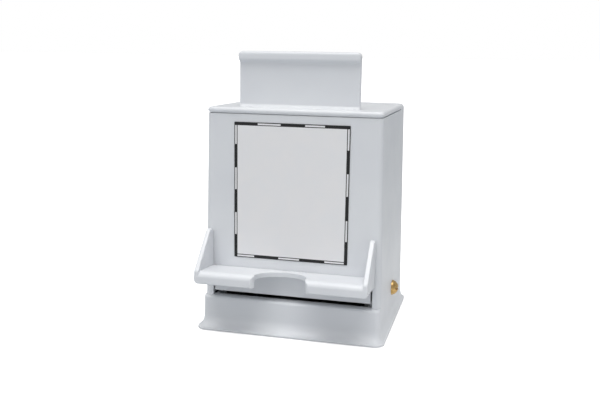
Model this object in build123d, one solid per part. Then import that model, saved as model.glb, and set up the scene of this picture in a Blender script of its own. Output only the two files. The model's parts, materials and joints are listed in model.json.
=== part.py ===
from build123d import *
import math
import os

os.makedirs("parts", exist_ok=True)

# Dental cartridge warmer: a white moulded box with a lid, a pull-out tray that
# brings one glass cartridge at a time out through the front window, and a small
# lamp that warms the stock from below. Everything is in millimetres. X runs
# across the box, the front faces -Y, and Z is up from the table. The origin is
# the middle of the footprint at table level.

# Glass cartridge that the box is made for
cartridge_diameter = 9.0
cartridge_length = 64.0

# Housing shell
body_depth = 67.4
side_draft = 1.0
wall = 2.5
wall_top = 95.0
corner_radius = 2.2
rim_lift = 0.2
skirt_step = 2.6
skirt_top = 14.75
skirt_round = 1.2
skirt_root = 8.0
flare_height = 5.8
flare_edge = 0.9
flare_root = 0.05
flare_side = 2.2
flare_front = 3.9
flare_rear = 2.2
flare_steps = 6
strip_depth = 12.2
strip_round = 1.8

# Window in the front wall
window_inset = 2.3
window_height = 13.25

# Lid with its upright tab
lid_side_reach = 0.1
lid_thickness = 2.5
lid_seam = 0.15
lid_overhang = 0.6
lid_round = 1.2
lid_rear_gap = 0.5
tab_inset = 11.3
tab_height = 23.5
tab_thickness = 2.2
tab_setback = 9.0
tab_lip_height = 4.0
tab_lip_reach = 1.8
tab_lip_slope = 0.3
tab_lip_round = 1.2
tab_back_round = 0.8
tab_corner = 2.2
tab_root_reaches = (0.9, 0.45)
hinge_pin_radius = 0.6
hinge_pin_end_gap = 2.4
hinge_running = 0.05
hinge_lug_width = 5.0
hinge_lug_inset = 13.8
hinge_lug_root = 0.7
hinge_side_gap = 0.4

# Dispensing tray
tray_inset = 1.0
tray_reach = 18.5
tray_travel = 13.5
tray_rise = 1.8
tray_gap = 2.15
tray_side_gap = 0.8
tray_top_gap = 0.3
tray_seat_gap = 0.1
tray_floor = 1.6
tray_wall = 1.5
tray_side_wall = 1.7
tray_recess = 0.3
shelf_lap = 0.4
shelf_thickness = 2.0
shelf_front_round = 1.4
flange_height = 5.5
flange_thickness = 2.2
flange_corner = 2.0
ear_thickness = 2.0
ear_height = 16.7
ear_top_length = 3.9
ear_rear_round = 2.4
ear_front_round = 1.8
shelf_shift = -0.4
notch_half_width = 13.2
notch_depth = 13.8
notch_end_round = 2.4
pocket_end_play = 1.0
pocket_side_play = 1.2
deck_overlap = 0.6

# Drawer bed under the tray, with the screws that stop its travel
running_gap = 0.1
bed_setback = 3.0
bed_thickness = 1.8
bed_flange_height = 8.0
bed_flange_thickness = 2.0
stop_screw_radius = 1.25
stop_screw_inset = 13.0
stop_screw_rise = 7.5
stop_screw_play = 0.3
stop_contact_play = 0.15

# Chassis cheeks
cheek_thickness = 1.6
cheek_clearance = 0.3
cheek_foot_width = 8.0
cheek_foot_end = 2.0
cheek_rear_play = 3.9
cheek_slot_play = 0.6
cheek_upper_step = 4.0
chassis_drop = 0.15

# Hopper
outlet_play = 1.8
plate_thickness = 1.2
plate_lip = 3.0
plate_flange = 5.0
back_thickness = 1.6
back_flange = 5.0
back_flange_start = 6.0
back_drop = 3.0
back_top_gap = 0.5
back_strip_gap = 3.6
deck_gap = 0.4

# Screws
countersunk_radius = 1.25
countersunk_head_radius = 2.2
countersunk_head_depth = 1.0
countersunk_length = 3.4
countersunk_slot_width = 0.5
countersunk_slot_depth = 0.4
screw_hole_play = 0.02
bed_screw_inset = 4.0
back_screw_low = 6.0
back_screw_high = 8.0
pan_head_radius = 2.6
small_head_radius = 2.2
pan_head_height = 1.1
base_screw_radius = 1.5
base_screw_length = 6.0
side_screw_radius = 1.7
side_screw_head_radius = 3.5
side_screw_head_height = 2.9
side_screw_grip = 7.0
side_screw_slot_width = 0.9
side_screw_slot_depth = 1.0
side_screw_height = 14.6
side_boss_radius = 2.9

# Cross bar between the cheeks, just behind the tray
bar_size = 6.0
bar_gap = 0.4
bar_chamfer = 0.4

# Lamp and socket
lamp_end_gap = 6.8
glass_low_gap = 1.0
glass_side_gap = 1.5
glass_top_gap = 3.2
glass_neck_radius = 5.6
glass_wall = 0.7
glass_belly = 0.42
cap_seat_gap = 1.0
cap_radius = 5.9
cap_length = 13.0
cap_wall = 0.5
cap_tip_radius = 2.4
cap_tip_length = 1.0
socket_radius = 8.5
socket_length = 21.0
socket_bore_depth = 15.5
contact_wall = 0.35
contact_play = 0.05
contact_length = 12.0
contact_mouth_gap = 0.5
contact_tab_radius = 2.6
stem_radius = 2.2
stem_length = 10.0
stem_disc = 0.8
support_wire_radius = 0.3
support_wire_length = 9.0
support_wire_spread = 4.5
filament_radius = 0.35
filament_end = 0.4
socket_screw_spread = 5.2

# Reflector under the lamp, with the tongue that lies on the cross bar
reflector_thickness = 0.6
reflector_end_reach = 1.5
reflector_socket_gap = 0.5
reflector_spread = 4.0
reflector_front_gap = 5.05
reflector_bend = 7.0
reflector_height = 13.0
reflector_rear_gap = 3.4
tongue_width = 14.0
tongue_setback = 0.4

# Base plate and feet
base_plate_thickness = 2.0
base_plate_gap = 0.5
foot_height = 2.0
foot_radius = 4.0
foot_taper = 0.6
foot_setback = 6.5
foot_rear_setback = 7.5
foot_inset = 8.3
base_screw_setback = 12.0
vent_count = 5
vent_length = 26.0
vent_width = 2.2
vent_pitch = 4.6

# Cord gland in the rear wall
gland_bore_radius = 3.2
gland_thread_radius = 4.9
gland_hole_play = 0.1
gland_flange_radius = 6.2
gland_flange_thickness = 1.9
gland_nut_flat = 13.0
gland_nut_thickness = 3.0
gland_tail = 1.0
gland_inset = 15.8
gland_height = 15.0

# Label on the front wall
label_inset = 12.8
label_shift = -0.6
label_above_window = 4.9
label_below_lid = 3.4
label_thickness = 0.2
label_corner = 0.3

# Extra length of the cutting tools past the faces they cut
past = 1.0

# Widths, worked out from the cartridge outwards
pocket_length = cartridge_length + 2 * pocket_end_play
tray_body_width = pocket_length + 2 * tray_side_wall
window_width = tray_body_width + 2 * tray_side_gap
body_top_width = window_width + 2 * window_inset
tray_width = body_top_width - 2 * tray_inset
lid_width = body_top_width + 2 * lid_side_reach
tab_width = body_top_width - 2 * tab_inset
label_width = body_top_width - 2 * label_inset
hinge_lug_x = body_top_width / 2 - hinge_lug_inset
stop_screw_x = pocket_length / 2 - stop_screw_inset
foot_x = body_top_width / 2 - foot_inset
gland_x = gland_inset - body_top_width / 2

# Positions worked out from the sizes above
depth_in_front = tray_reach + tray_seat_gap
total_depth = depth_in_front + body_depth + flare_rear
front_y = depth_in_front - total_depth / 2
rear_y = front_y + body_depth
inner_front_y = front_y + wall
inner_rear_y = rear_y - wall
skirt_y = front_y - skirt_step
draft_ratio = math.tan(math.radians(side_draft))

lid_bottom = wall_top + lid_seam
lid_top = lid_bottom + lid_thickness
barrel_radius = lid_thickness / 2
strip_y = rear_y - strip_depth
hinge_y = strip_y - lid_rear_gap - barrel_radius
hinge_z = lid_top - barrel_radius
lid_front_y = front_y - lid_overhang
tab_y = front_y + tab_setback

window_bottom = skirt_top
window_top = window_bottom + window_height
label_bottom = window_top + label_above_window
label_top = wall_top - label_below_lid

tray_bottom = window_bottom + tray_gap
tray_top = window_top - tray_top_gap
pocket_floor = tray_bottom + tray_floor
pocket_front_y = front_y + tray_recess + tray_wall
pocket_width = cartridge_diameter + pocket_side_play
pocket_rear_y = pocket_front_y + pocket_width
deck_bottom = tray_top - tray_floor
pocket_back_y = pocket_rear_y + tray_wall

stop_screw_y = pocket_back_y + stop_screw_play + stop_screw_radius
tail_front_y = stop_screw_y + stop_screw_radius + stop_contact_play + tray_travel
outlet_y = inner_front_y + cartridge_diameter + outlet_play
tail_rear_y = max(tail_front_y + tray_wall, outlet_y + tray_travel + deck_overlap)

shelf_rear_y = front_y - tray_seat_gap
shelf_front_y = shelf_rear_y - tray_reach
shelf_top_rear = window_top + shelf_lap
shelf_top_front = shelf_top_rear + tray_rise
flange_bottom = shelf_top_front - flange_height
ear_top = shelf_top_rear + ear_height
notch_radius = (notch_half_width**2 + notch_depth**2) / (2 * notch_depth) - notch_end_round

bed_top = tray_bottom - running_gap
bed_bottom = bed_top - bed_thickness
base_plate_bottom = foot_height
base_plate_top = base_plate_bottom + base_plate_thickness


def half_width(height):
    """Half the outer width of the drafted body at a height."""
    return body_top_width / 2 + (wall_top - height) * draft_ratio


cheek_outer = half_width(wall_top) - wall - cheek_clearance
cheek_inner = cheek_outer - cheek_thickness
cheek_front_y = inner_front_y + cheek_clearance
cheek_rear_y = inner_rear_y - cheek_rear_play
cheek_top = lid_bottom - chassis_drop - lid_seam
cheek_slot_y = tail_rear_y + cheek_slot_play
cheek_slot_top = window_top + deck_gap
bed_front_y = cheek_front_y + bed_setback
bed_rear_y = cheek_slot_y - cheek_clearance
hopper_back_y = strip_y - back_strip_gap - back_thickness
upper_rear_y = hopper_back_y + back_thickness + back_flange

bar_top = side_screw_height + bar_size / 2
side_screw_y = tail_rear_y + bar_gap + bar_size / 2
reflector_opening = inner_rear_y - reflector_rear_gap - tail_rear_y - reflector_front_gap
reflector_bottom_width = reflector_opening - 2 * reflector_spread
glass_radius = reflector_opening / 2 - glass_side_gap
lamp_y = inner_rear_y - reflector_rear_gap - reflector_opening / 2
lamp_height = bar_top + reflector_thickness + glass_low_gap + glass_radius

plate_lip_bottom = tray_top + deck_gap
plate_front_top = plate_lip_bottom + plate_lip
lamp_reach = math.hypot(lamp_y - outlet_y, plate_front_top - lamp_height)
lamp_rise = math.atan2(plate_front_top - lamp_height, lamp_y - outlet_y)
plate_angle = math.asin((glass_radius + glass_top_gap + plate_thickness) / lamp_reach) - lamp_rise
plate_slope = math.tan(plate_angle)
plate_rear_top = plate_front_top + (hopper_back_y - outlet_y) * plate_slope
plate_drop = plate_thickness / math.cos(plate_angle)

socket_mouth_x = -cheek_inner + socket_length
cap_start_x = socket_mouth_x - cap_length - cap_seat_gap
glass_start_x = cap_start_x + cap_length
glass_end_x = cheek_inner - lamp_end_gap
glass_length = glass_end_x - glass_start_x
lamp_middle_x = (glass_start_x + glass_end_x) / 2
reflector_low_x = socket_mouth_x + reflector_socket_gap
reflector_high_x = glass_end_x + reflector_end_reach


def block(x0, x1, y0, y1, z0, z1):
    """A box between two corners."""
    size = Box(x1 - x0, y1 - y0, z1 - z0)
    return Pos((x0 + x1) / 2, (y0 + y1) / 2, (z0 + z1) / 2) * size


def prism_x(points, x0, x1):
    """An outline in the YZ plane carried across the box from x0 to x1."""
    outline = Polyline(*[(x0, y, z) for y, z in points], close=True)
    return extrude(make_face(outline), amount=x1 - x0, dir=(1, 0, 0))


def prism_y(points, y0, y1):
    """An outline in the XZ plane carried from front to back."""
    outline = Polyline(*[(x, y0, z) for x, z in points], close=True)
    return extrude(make_face(outline), amount=y1 - y0, dir=(0, 1, 0))


def rod_x(radius, x0, x1, y, z):
    """A round bar along X."""
    return Pos((x0 + x1) / 2, y, z) * Rot(0, 90, 0) * Cylinder(radius, x1 - x0)


def rod_y(radius, x, y0, y1, z):
    """A round bar along Y."""
    return Pos(x, (y0 + y1) / 2, z) * Rot(90, 0, 0) * Cylinder(radius, y1 - y0)


def rod_z(radius, x, y, z0, z1):
    """A round bar along Z."""
    return Pos(x, y, (z0 + z1) / 2) * Cylinder(radius, z1 - z0)


def countersunk_screw(side, y, z):
    """A flat-headed screw driven through a cheek towards the middle, slot outwards."""
    shank = rod_x(countersunk_radius, cheek_outer - countersunk_length, cheek_outer, y, z)
    head = Pos(cheek_outer - countersunk_head_depth / 2, y, z) * Rot(0, 90, 0) * Cone(
        countersunk_radius, countersunk_head_radius, countersunk_head_depth
    )
    slot = block(
        cheek_outer - countersunk_slot_depth,
        cheek_outer + past,
        y - countersunk_slot_width / 2,
        y + countersunk_slot_width / 2,
        z - countersunk_head_radius - past,
        z + countersunk_head_radius + past,
    )
    screw = shank + head - slot
    return screw if side > 0 else mirror(screw, about=Plane.YZ)


def cheek_screw_places():
    """Y and Z of each countersunk screw that ties a cross piece to a cheek."""
    bed_z = bed_bottom - bed_flange_height / 2
    places = [(bed_front_y + bed_screw_inset, bed_z), (bed_rear_y - bed_screw_inset, bed_z)]
    for share in (0.2, 0.8):
        y = outlet_y + share * (hopper_back_y - outlet_y)
        top = plate_front_top + (y - outlet_y) * plate_slope
        places.append((y, top - plate_drop - plate_flange / 2))
    back_y = hopper_back_y + back_thickness + back_flange / 2
    places.append((back_y, plate_rear_top + back_screw_low))
    places.append((back_y, cheek_top - back_screw_high))
    return places


def drafted_body(inset, y0, y1, z0, z1):
    """The tapered box between two heights, its sides moved in by an inset."""
    low = half_width(z0) - inset
    high = half_width(z1) - inset
    return prism_y([(-low, z0), (low, z0), (high, z1), (-high, z1)], y0, y1)


def plan_section(level, share):
    """The rounded plan outline of the flare at one height, its root set just inside the wall."""
    root = flare_root * (1 - share)
    width = 2 * (half_width(level) + flare_side * share - root)
    y0 = skirt_y - flare_front * share + root
    y1 = rear_y + flare_rear * share - root
    outline = RectangleRounded(width, y1 - y0, corner_radius + flare_side * share)
    return Pos(0, (y0 + y1) / 2, level) * outline


def flare():
    """The foot of the shell, which spreads outwards to a thin edge."""
    flare_top = rim_lift + flare_height
    sections = []
    for i in range(flare_steps):
        angle = math.pi / 2 * i / (flare_steps - 1)
        level = flare_top - (flare_height - flare_edge) * math.sin(angle)
        sections.append(plan_section(level, 1 - math.cos(angle)))
    spread = loft(sections, ruled=True)
    edge = extrude(plan_section(rim_lift, 1), amount=flare_edge)
    return spread + edge


def housing():
    """The outer shell: walls, rear strip with hinge lugs, skirt, flare and screw bosses."""
    upright = drafted_body(0, front_y, rear_y, rim_lift, lid_top)
    corners = upright.edges().filter_by(Axis.Z, tolerance=side_draft + 1)
    upright = fillet(corners, corner_radius)
    strip_edges = upright.faces().sort_by(Axis.Z)[-1].edges()
    upright = fillet(strip_edges, strip_round)
    skirt = drafted_body(0, skirt_y, front_y + skirt_root, rim_lift, skirt_top)
    skirt_corners = skirt.edges().filter_by(Axis.Z, tolerance=side_draft + 1)
    skirt = fillet(skirt_corners.group_by(Axis.Y)[0], corner_radius)
    front_edge = skirt.edges().filter_by(Axis.X).group_by(Axis.Z)[-1].sort_by(Axis.Y)[0]
    skirt = fillet(front_edge, skirt_round)
    shell = upright + skirt + flare()

    half = body_top_width / 2
    over = block(-half - past, half + past, front_y - past, strip_y, wall_top, lid_top + past)
    shell -= over
    cavity_top = lid_top - wall
    shell -= drafted_body(wall, inner_front_y, inner_rear_y, rim_lift - past, cavity_top)
    shell -= drafted_body(wall, skirt_y + wall, inner_rear_y, rim_lift - past, skirt_top - wall)
    window_half = window_width / 2
    shell -= block(
        -window_half, window_half, front_y - past, inner_front_y + past, window_bottom, window_top
    )

    for side in (-1, 1):
        x = side * hinge_lug_x
        x0 = x - hinge_lug_width / 2
        x1 = x + hinge_lug_width / 2
        lug = rod_x(barrel_radius, x0, x1, hinge_y, hinge_z)
        lug += block(x0, x1, hinge_y, strip_y, lid_bottom, hinge_z + barrel_radius * hinge_lug_root)
        lug -= rod_x(hinge_pin_radius, x0 - past, x1 + past, hinge_y, hinge_z)
        shell += lug
        outside = side * half_width(side_screw_height)
        inside = side * cheek_outer
        boss = rod_x(
            side_boss_radius,
            min(inside, outside - side * wall / 2),
            max(inside, outside - side * wall / 2),
            side_screw_y,
            side_screw_height,
        )
        shell += boss
        shell -= rod_x(
            side_screw_radius + screw_hole_play,
            min(inside, outside) - past,
            max(inside, outside) + past,
            side_screw_y,
            side_screw_height,
        )
    gland_hole = rod_y(
        gland_thread_radius + gland_hole_play, gland_x, inner_rear_y - past, rear_y + past, gland_height
    )
    return shell - gland_hole


def lid():
    """The lid panel with its full-round rear edge, and the upright tab that lifts it."""
    half = lid_width / 2
    panel = block(-half, half, lid_front_y, hinge_y, lid_bottom, lid_top)
    corners = panel.edges().filter_by(Axis.Z).group_by(Axis.Y)[0]
    panel = fillet(corners, corner_radius)
    top_edges = panel.faces().sort_by(Axis.Z)[-1].edges()
    rims = [edge for edge in top_edges if edge.center().Y < hinge_y - hinge_running]
    panel = fillet(rims, lid_round)
    panel += rod_x(barrel_radius, -half, half, hinge_y, hinge_z)

    tab_x = tab_width / 2
    tab_top = lid_top + tab_height
    tab_rear_y = tab_y + tab_thickness
    lip_y = tab_y - tab_lip_reach
    lip_low = tab_top - tab_lip_height
    profile = [
        (tab_y, hinge_z),
        (tab_y, lip_low),
        (lip_y, lip_low + tab_lip_reach * tab_lip_slope),
        (lip_y, tab_top - tab_lip_round),
        (lip_y + tab_lip_round, tab_top),
        (tab_rear_y - tab_back_round, tab_top),
        (tab_rear_y, tab_top - tab_back_round),
        (tab_rear_y, hinge_z),
    ]
    tab = prism_x(profile, -tab_x, tab_x)
    trim = Pos(0, tab_y, lid_top) * Rot(90, 0, 0) * RectangleRounded(
        tab_width, 2 * tab_height, tab_corner
    )
    panel += tab & extrude(trim, amount=2 * tab_thickness, both=True)
    widest = max(tab_root_reaches)
    for reach in tab_root_reaches:
        root_top = lid_top + widest + hinge_running - reach
        panel += block(-tab_x, tab_x, tab_y - reach, tab_rear_y + reach, hinge_z, root_top)

    for side in (-1, 1):
        x0 = side * hinge_lug_x - hinge_lug_width / 2 - hinge_side_gap
        x1 = side * hinge_lug_x + hinge_lug_width / 2 + hinge_side_gap
        reach = barrel_radius + hinge_side_gap
        panel -= block(x0, x1, hinge_y - reach, hinge_y + reach, lid_bottom - past, lid_top + past)
    panel -= rod_x(
        hinge_pin_radius + hinge_running, -half - past, half - hinge_pin_end_gap, hinge_y, hinge_z
    )
    return panel


def hinge_pin():
    """The steel wire that the lid turns on."""
    reach = lid_width / 2 - hinge_pin_end_gap
    return rod_x(hinge_pin_radius, -reach, reach, hinge_y, hinge_z)


def shelf_and_ears():
    """The part of the tray in front of the wall: shelf, flange, ears and finger notch."""
    half = tray_width / 2
    slope = tray_rise / tray_reach
    inner_y = shelf_front_y + flange_thickness
    under_front = shelf_top_front - shelf_thickness - slope * flange_thickness
    shelf = prism_x(
        [
            (shelf_rear_y, shelf_top_rear),
            (shelf_front_y, shelf_top_front),
            (shelf_front_y, flange_bottom),
            (inner_y, flange_bottom),
            (inner_y, under_front),
            (shelf_rear_y, shelf_top_rear - shelf_thickness),
        ],
        -half,
        half,
    )
    shelf = fillet(shelf.edges().filter_by(Axis.X).group_by(Axis.Z)[-1], shelf_front_round)
    for side in (-1, 1):
        x0 = min(side * half, side * (half - ear_thickness))
        ear = prism_x(
            [
                (shelf_rear_y, flange_bottom - tray_rise),
                (shelf_rear_y, ear_top),
                (shelf_rear_y - ear_top_length, ear_top),
                (shelf_front_y, shelf_top_front),
                (shelf_front_y, flange_bottom),
            ],
            x0,
            x0 + ear_thickness,
        )
        front_top, rear_top = ear.edges().filter_by(Axis.X).group_by(Axis.Z)[-1].sort_by(Axis.Y)
        ear = fillet(front_top, ear_front_round)
        rear_top = ear.edges().filter_by(Axis.X).group_by(Axis.Y)[-1].sort_by(Axis.Z)[-1]
        ear = fillet(rear_top, ear_rear_round)
        shelf += ear
    tilt = Pos(0, shelf_front_y, flange_bottom) * Rot(90 - math.degrees(math.atan(slope)), 0, 0)
    trim = tilt * Pos(0, ear_height, 0) * RectangleRounded(tray_width, 2 * ear_height, flange_corner)
    shelf &= extrude(trim, amount=2 * tray_reach, both=True)
    return shelf - finger_notch()


def finger_notch():
    """The cutting tool of the finger notch: a round bay whose mouth flares into the front."""
    low = flange_bottom - past
    high = shelf_top_front + past
    centre_y = shelf_front_y + notch_depth - notch_radius
    turn_y = shelf_front_y + notch_end_round
    share = notch_radius / (notch_radius + notch_end_round)
    touch_y = centre_y + (turn_y - centre_y) * share
    mouth = block(-notch_half_width, notch_half_width, shelf_front_y - past, touch_y, low, high)
    for side in (-1, 1):
        mouth -= rod_z(notch_end_round, side * notch_half_width, turn_y, low, high)
    return mouth + rod_z(notch_radius, 0, centre_y, low, high)


def tray():
    """The pull-out tray: front shelf, apron, one-cartridge pocket, cut-off deck and tail."""
    half = tray_body_width / 2
    apron_y = front_y + tray_recess
    body = block(-half, half, apron_y, pocket_back_y, tray_bottom, tray_top)
    pocket = pocket_length / 2
    body -= block(-pocket, pocket, pocket_front_y, pocket_rear_y, pocket_floor, tray_top + past)
    body += block(-half, half, shelf_rear_y, apron_y, shelf_top_rear - shelf_thickness, tray_top)
    body += block(-half, half, pocket_rear_y, tail_rear_y, deck_bottom, tray_top)
    body += block(-half, half, tail_front_y, tail_rear_y, tray_bottom, tray_top)
    for side in (-1, 1):
        x0 = min(side * half, side * (half - tray_side_wall))
        body += block(x0, x0 + tray_side_wall, pocket_back_y, tail_rear_y, tray_bottom, tray_top)
    return body + Pos(shelf_shift, 0, 0) * shelf_and_ears()


def drawer_bed():
    """The folded plate that the tray slides on, resting across the two cheeks."""
    plate = block(-cheek_outer, cheek_outer, bed_front_y, bed_rear_y, bed_bottom, bed_top)
    for side in (-1, 1):
        x0 = min(side * cheek_inner, side * (cheek_inner - bed_flange_thickness))
        x1 = x0 + bed_flange_thickness
        plate += block(x0, x1, bed_front_y, bed_rear_y, bed_bottom - bed_flange_height, bed_bottom)
        plate -= rod_z(
            stop_screw_radius, side * stop_screw_x, stop_screw_y, bed_bottom - past, bed_top + past
        )
        plate -= cheek_screw_holes(side)
    return plate


def cheek_screw_holes(side):
    """Tapped holes for the countersunk screws, as one cutting tool."""
    tools = [countersunk_tool(side, y, z) for y, z in cheek_screw_places()]
    return Part() + tools


def countersunk_tool(side, y, z):
    """The hole that one countersunk screw fills."""
    radius = countersunk_radius + screw_hole_play
    hole = rod_x(
        radius, cheek_outer - countersunk_length - screw_hole_play, cheek_outer + past, y, z
    )
    hole += Pos(cheek_outer - countersunk_head_depth / 2, y, z) * Rot(0, 90, 0) * Cone(
        radius, countersunk_head_radius + screw_hole_play, countersunk_head_depth
    )
    return hole if side > 0 else mirror(hole, about=Plane.YZ)


def stop_screws():
    """Screws that stand up through the bed and catch the tray's tail at full travel."""
    screws = []
    for side in (-1, 1):
        x = side * stop_screw_x
        top = bed_top + stop_screw_rise
        screw = rod_z(stop_screw_radius, x, stop_screw_y, bed_bottom, top)
        screw += rod_z(pan_head_radius, x, stop_screw_y, bed_bottom - pan_head_height, bed_bottom)
        screws.append(screw)
    return screws


def cheek(side):
    """One side plate of the chassis, cut out around the tray and folded in at its foot."""
    upper_bend = plate_rear_top - cheek_upper_step
    profile = [
        (cheek_front_y, cheek_slot_top),
        (cheek_front_y, cheek_top),
        (upper_rear_y, cheek_top),
        (upper_rear_y, upper_bend),
        (cheek_rear_y, upper_bend - cheek_upper_step),
        (cheek_rear_y, base_plate_top),
        (cheek_front_y, base_plate_top),
        (cheek_front_y, bed_bottom),
        (cheek_slot_y, bed_bottom),
        (cheek_slot_y, cheek_slot_top),
    ]
    x0 = min(side * cheek_inner, side * cheek_outer)
    x1 = x0 + cheek_thickness
    plate = prism_x(profile, x0, x1)
    hole_radius = side_screw_radius + screw_hole_play
    plate -= rod_x(hole_radius, x0 - past, x1 + past, side_screw_y, side_screw_height)
    foot_edge_x = side * (cheek_inner - cheek_foot_width)
    foot_x0 = min(side * cheek_inner, foot_edge_x)
    foot_y0 = cheek_front_y + cheek_foot_end
    foot_y1 = cheek_rear_y - cheek_foot_end
    foot_top = base_plate_top + cheek_thickness
    plate += block(foot_x0, foot_x0 + cheek_foot_width, foot_y0, foot_y1, base_plate_top, foot_top)
    plate -= cheek_screw_holes(side)
    for y in base_screw_rows():
        plate -= rod_z(
            base_screw_radius + screw_hole_play,
            side * (cheek_inner - cheek_foot_width / 2),
            y,
            base_plate_top - past,
            foot_top + past,
        )
    if side < 0:
        for z in socket_screw_heights():
            plate -= countersunk_tool(side, lamp_y, z)
    return plate


def base_screw_rows():
    """Y of the front and rear base screws."""
    return (cheek_front_y + base_screw_setback, cheek_rear_y - base_screw_setback)


def socket_screw_heights():
    """Z of the two screws that hold the lamp socket."""
    return (lamp_height - socket_screw_spread, lamp_height + socket_screw_spread)


def warming_plate():
    """The sloped aluminium floor of the hopper, with its front lip and side flanges."""
    rear_y0 = hopper_back_y
    slab = [
        (outlet_y, plate_lip_bottom),
        (outlet_y, plate_front_top),
        (rear_y0, plate_rear_top),
        (rear_y0, plate_rear_top - plate_drop),
        (outlet_y + plate_thickness, plate_front_top + plate_thickness * plate_slope - plate_drop),
        (outlet_y + plate_thickness, plate_lip_bottom),
    ]
    plate = prism_x(slab, -cheek_inner, cheek_inner)
    start = outlet_y + plate_thickness
    first_top = plate_front_top + plate_thickness * plate_slope - plate_drop
    flange = [
        (start, first_top),
        (rear_y0, plate_rear_top - plate_drop),
        (rear_y0, plate_rear_top - plate_drop - plate_flange),
        (start + 2 * plate_flange, first_top + 2 * plate_flange * plate_slope - plate_flange),
    ]
    for side in (-1, 1):
        x0 = min(side * cheek_inner, side * (cheek_inner - plate_thickness))
        plate += prism_x(flange, x0, x0 + plate_thickness)
        plate -= cheek_screw_holes(side)
    return plate


def hopper_back():
    """The upright rear plate of the hopper, folded back at both sides."""
    y1 = hopper_back_y + back_thickness
    z0 = plate_rear_top - plate_drop - back_drop
    z1 = cheek_top - back_top_gap
    plate = block(-cheek_inner, cheek_inner, hopper_back_y, y1, z0, z1)
    for side in (-1, 1):
        x0 = min(side * cheek_inner, side * (cheek_inner - back_thickness))
        plate += block(x0, x0 + back_thickness, y1, y1 + back_flange, z0 + back_flange_start, z1)
        plate -= cheek_screw_holes(side)
    return plate


def chassis_screws():
    """Countersunk screws that tie the bed, warming plate and hopper back to the cheeks."""
    return [countersunk_screw(side, y, z) for side in (-1, 1) for y, z in cheek_screw_places()]


def cross_bar():
    """The square bar between the cheeks that the two brass side screws bite into."""
    low = bar_size / 2
    bar = block(
        -cheek_inner,
        cheek_inner,
        side_screw_y - low,
        side_screw_y + low,
        side_screw_height - low,
        side_screw_height + low,
    )
    bar = chamfer(bar.edges().filter_by(Axis.X), bar_chamfer)
    for side in (-1, 1):
        end = side * (cheek_inner + past)
        depth = side * (cheek_inner - side_screw_grip - past)
        hole_radius = side_screw_radius + screw_hole_play
        bar -= rod_x(hole_radius, min(end, depth), max(end, depth), side_screw_y, side_screw_height)
    bar -= rod_z(
        countersunk_radius + screw_hole_play,
        lamp_middle_x,
        side_screw_y,
        side_screw_height,
        bar_top + past,
    )
    return bar


def side_screws():
    """The two slotted round-head brass screws, one in each side of the housing."""
    screws = []
    for side in (-1, 1):
        seat = half_width(side_screw_height - side_screw_head_radius)
        crown = seat + side_screw_head_height
        start = cheek_inner - side_screw_grip
        shank = rod_x(side_screw_radius, start, seat + past, side_screw_y, side_screw_height)
        squares = side_screw_head_radius**2 + side_screw_head_height**2
        dome_radius = squares / (2 * side_screw_head_height)
        half_angle = math.asin(side_screw_head_radius / dome_radius) / 2
        arc_middle = (
            crown - dome_radius + dome_radius * math.cos(half_angle),
            dome_radius * math.sin(half_angle),
        )
        rim = Line((seat, 0), (seat, side_screw_head_radius))
        arc = ThreePointArc((seat, side_screw_head_radius), arc_middle, (crown, 0))
        profile = make_face([rim, arc, Line((crown, 0), (seat, 0))])
        dome = Pos(0, side_screw_y, side_screw_height) * revolve(profile, axis=Axis.X)
        slot_y = side_screw_head_radius + past
        slot = block(
            crown - side_screw_slot_depth,
            crown + past,
            side_screw_y - slot_y,
            side_screw_y + slot_y,
            side_screw_height - side_screw_slot_width / 2,
            side_screw_height + side_screw_slot_width / 2,
        )
        screw = shank + dome - slot
        screws.append(screw if side > 0 else mirror(screw, about=Plane.YZ))
    return screws


def lamp_socket():
    """The moulded candelabra socket, fixed to the left cheek."""
    body = rod_x(socket_radius, -cheek_inner, socket_mouth_x, lamp_y, lamp_height)
    bore_radius = cap_radius + contact_play + contact_wall + screw_hole_play
    bore_start = socket_mouth_x - socket_bore_depth
    body -= rod_x(bore_radius, bore_start, socket_mouth_x + past, lamp_y, lamp_height)
    for z in socket_screw_heights():
        body -= countersunk_tool(-1, lamp_y, z)
    return body


def socket_contact():
    """The brass shell and the centre tab inside the socket."""
    inner = cap_radius + contact_play
    outer = inner + contact_wall
    bottom = socket_mouth_x - socket_bore_depth
    mouth = socket_mouth_x - contact_mouth_gap
    shell = rod_x(outer, mouth - contact_length, mouth, lamp_y, lamp_height)
    shell -= rod_x(inner, mouth - contact_length - past, mouth + past, lamp_y, lamp_height)
    tab = rod_x(contact_tab_radius, bottom, cap_start_x - cap_tip_length, lamp_y, lamp_height)
    return [shell, tab]


def socket_screws():
    """The two countersunk screws that hold the socket to the left cheek."""
    return [countersunk_screw(-1, lamp_y, z) for z in socket_screw_heights()]


def lamp_cap():
    """The brass screw cap of the lamp with its soldered centre contact."""
    cap = rod_x(cap_radius, cap_start_x, glass_start_x, lamp_y, lamp_height)
    hollow_x = cap_start_x + 2 * cap_wall
    cap -= rod_x(cap_radius - cap_wall, hollow_x, glass_start_x + past, lamp_y, lamp_height)
    tip = rod_x(cap_tip_radius, cap_start_x - cap_tip_length, cap_start_x, lamp_y, lamp_height)
    return cap + tip


def glass_outline(inset):
    """The half profile of the lamp glass, drawn in X and radius, closed on its axis."""
    x0 = glass_start_x
    length = glass_length - inset
    neck = glass_neck_radius - inset
    widest = glass_radius - inset
    belly = (x0 + glass_belly * glass_length, widest)
    shoulder = Spline((x0, neck), belly, tangents=[(1, 0.3), (1, 0)])
    nose = Spline(belly, (x0 + length, 0), tangents=[(1, 0), (0, -1)])
    rim = Line((x0, 0), (x0, neck))
    axis = Line((x0 + length, 0), (x0, 0))
    return make_face([rim, shoulder, nose, axis])


def lamp_glass():
    """The hollow glass envelope, turned about the lamp's axis."""
    outer = revolve(glass_outline(0), axis=Axis.X)
    inner = revolve(glass_outline(glass_wall), axis=Axis.X)
    return Pos(0, lamp_y, lamp_height) * (outer - inner)


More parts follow.
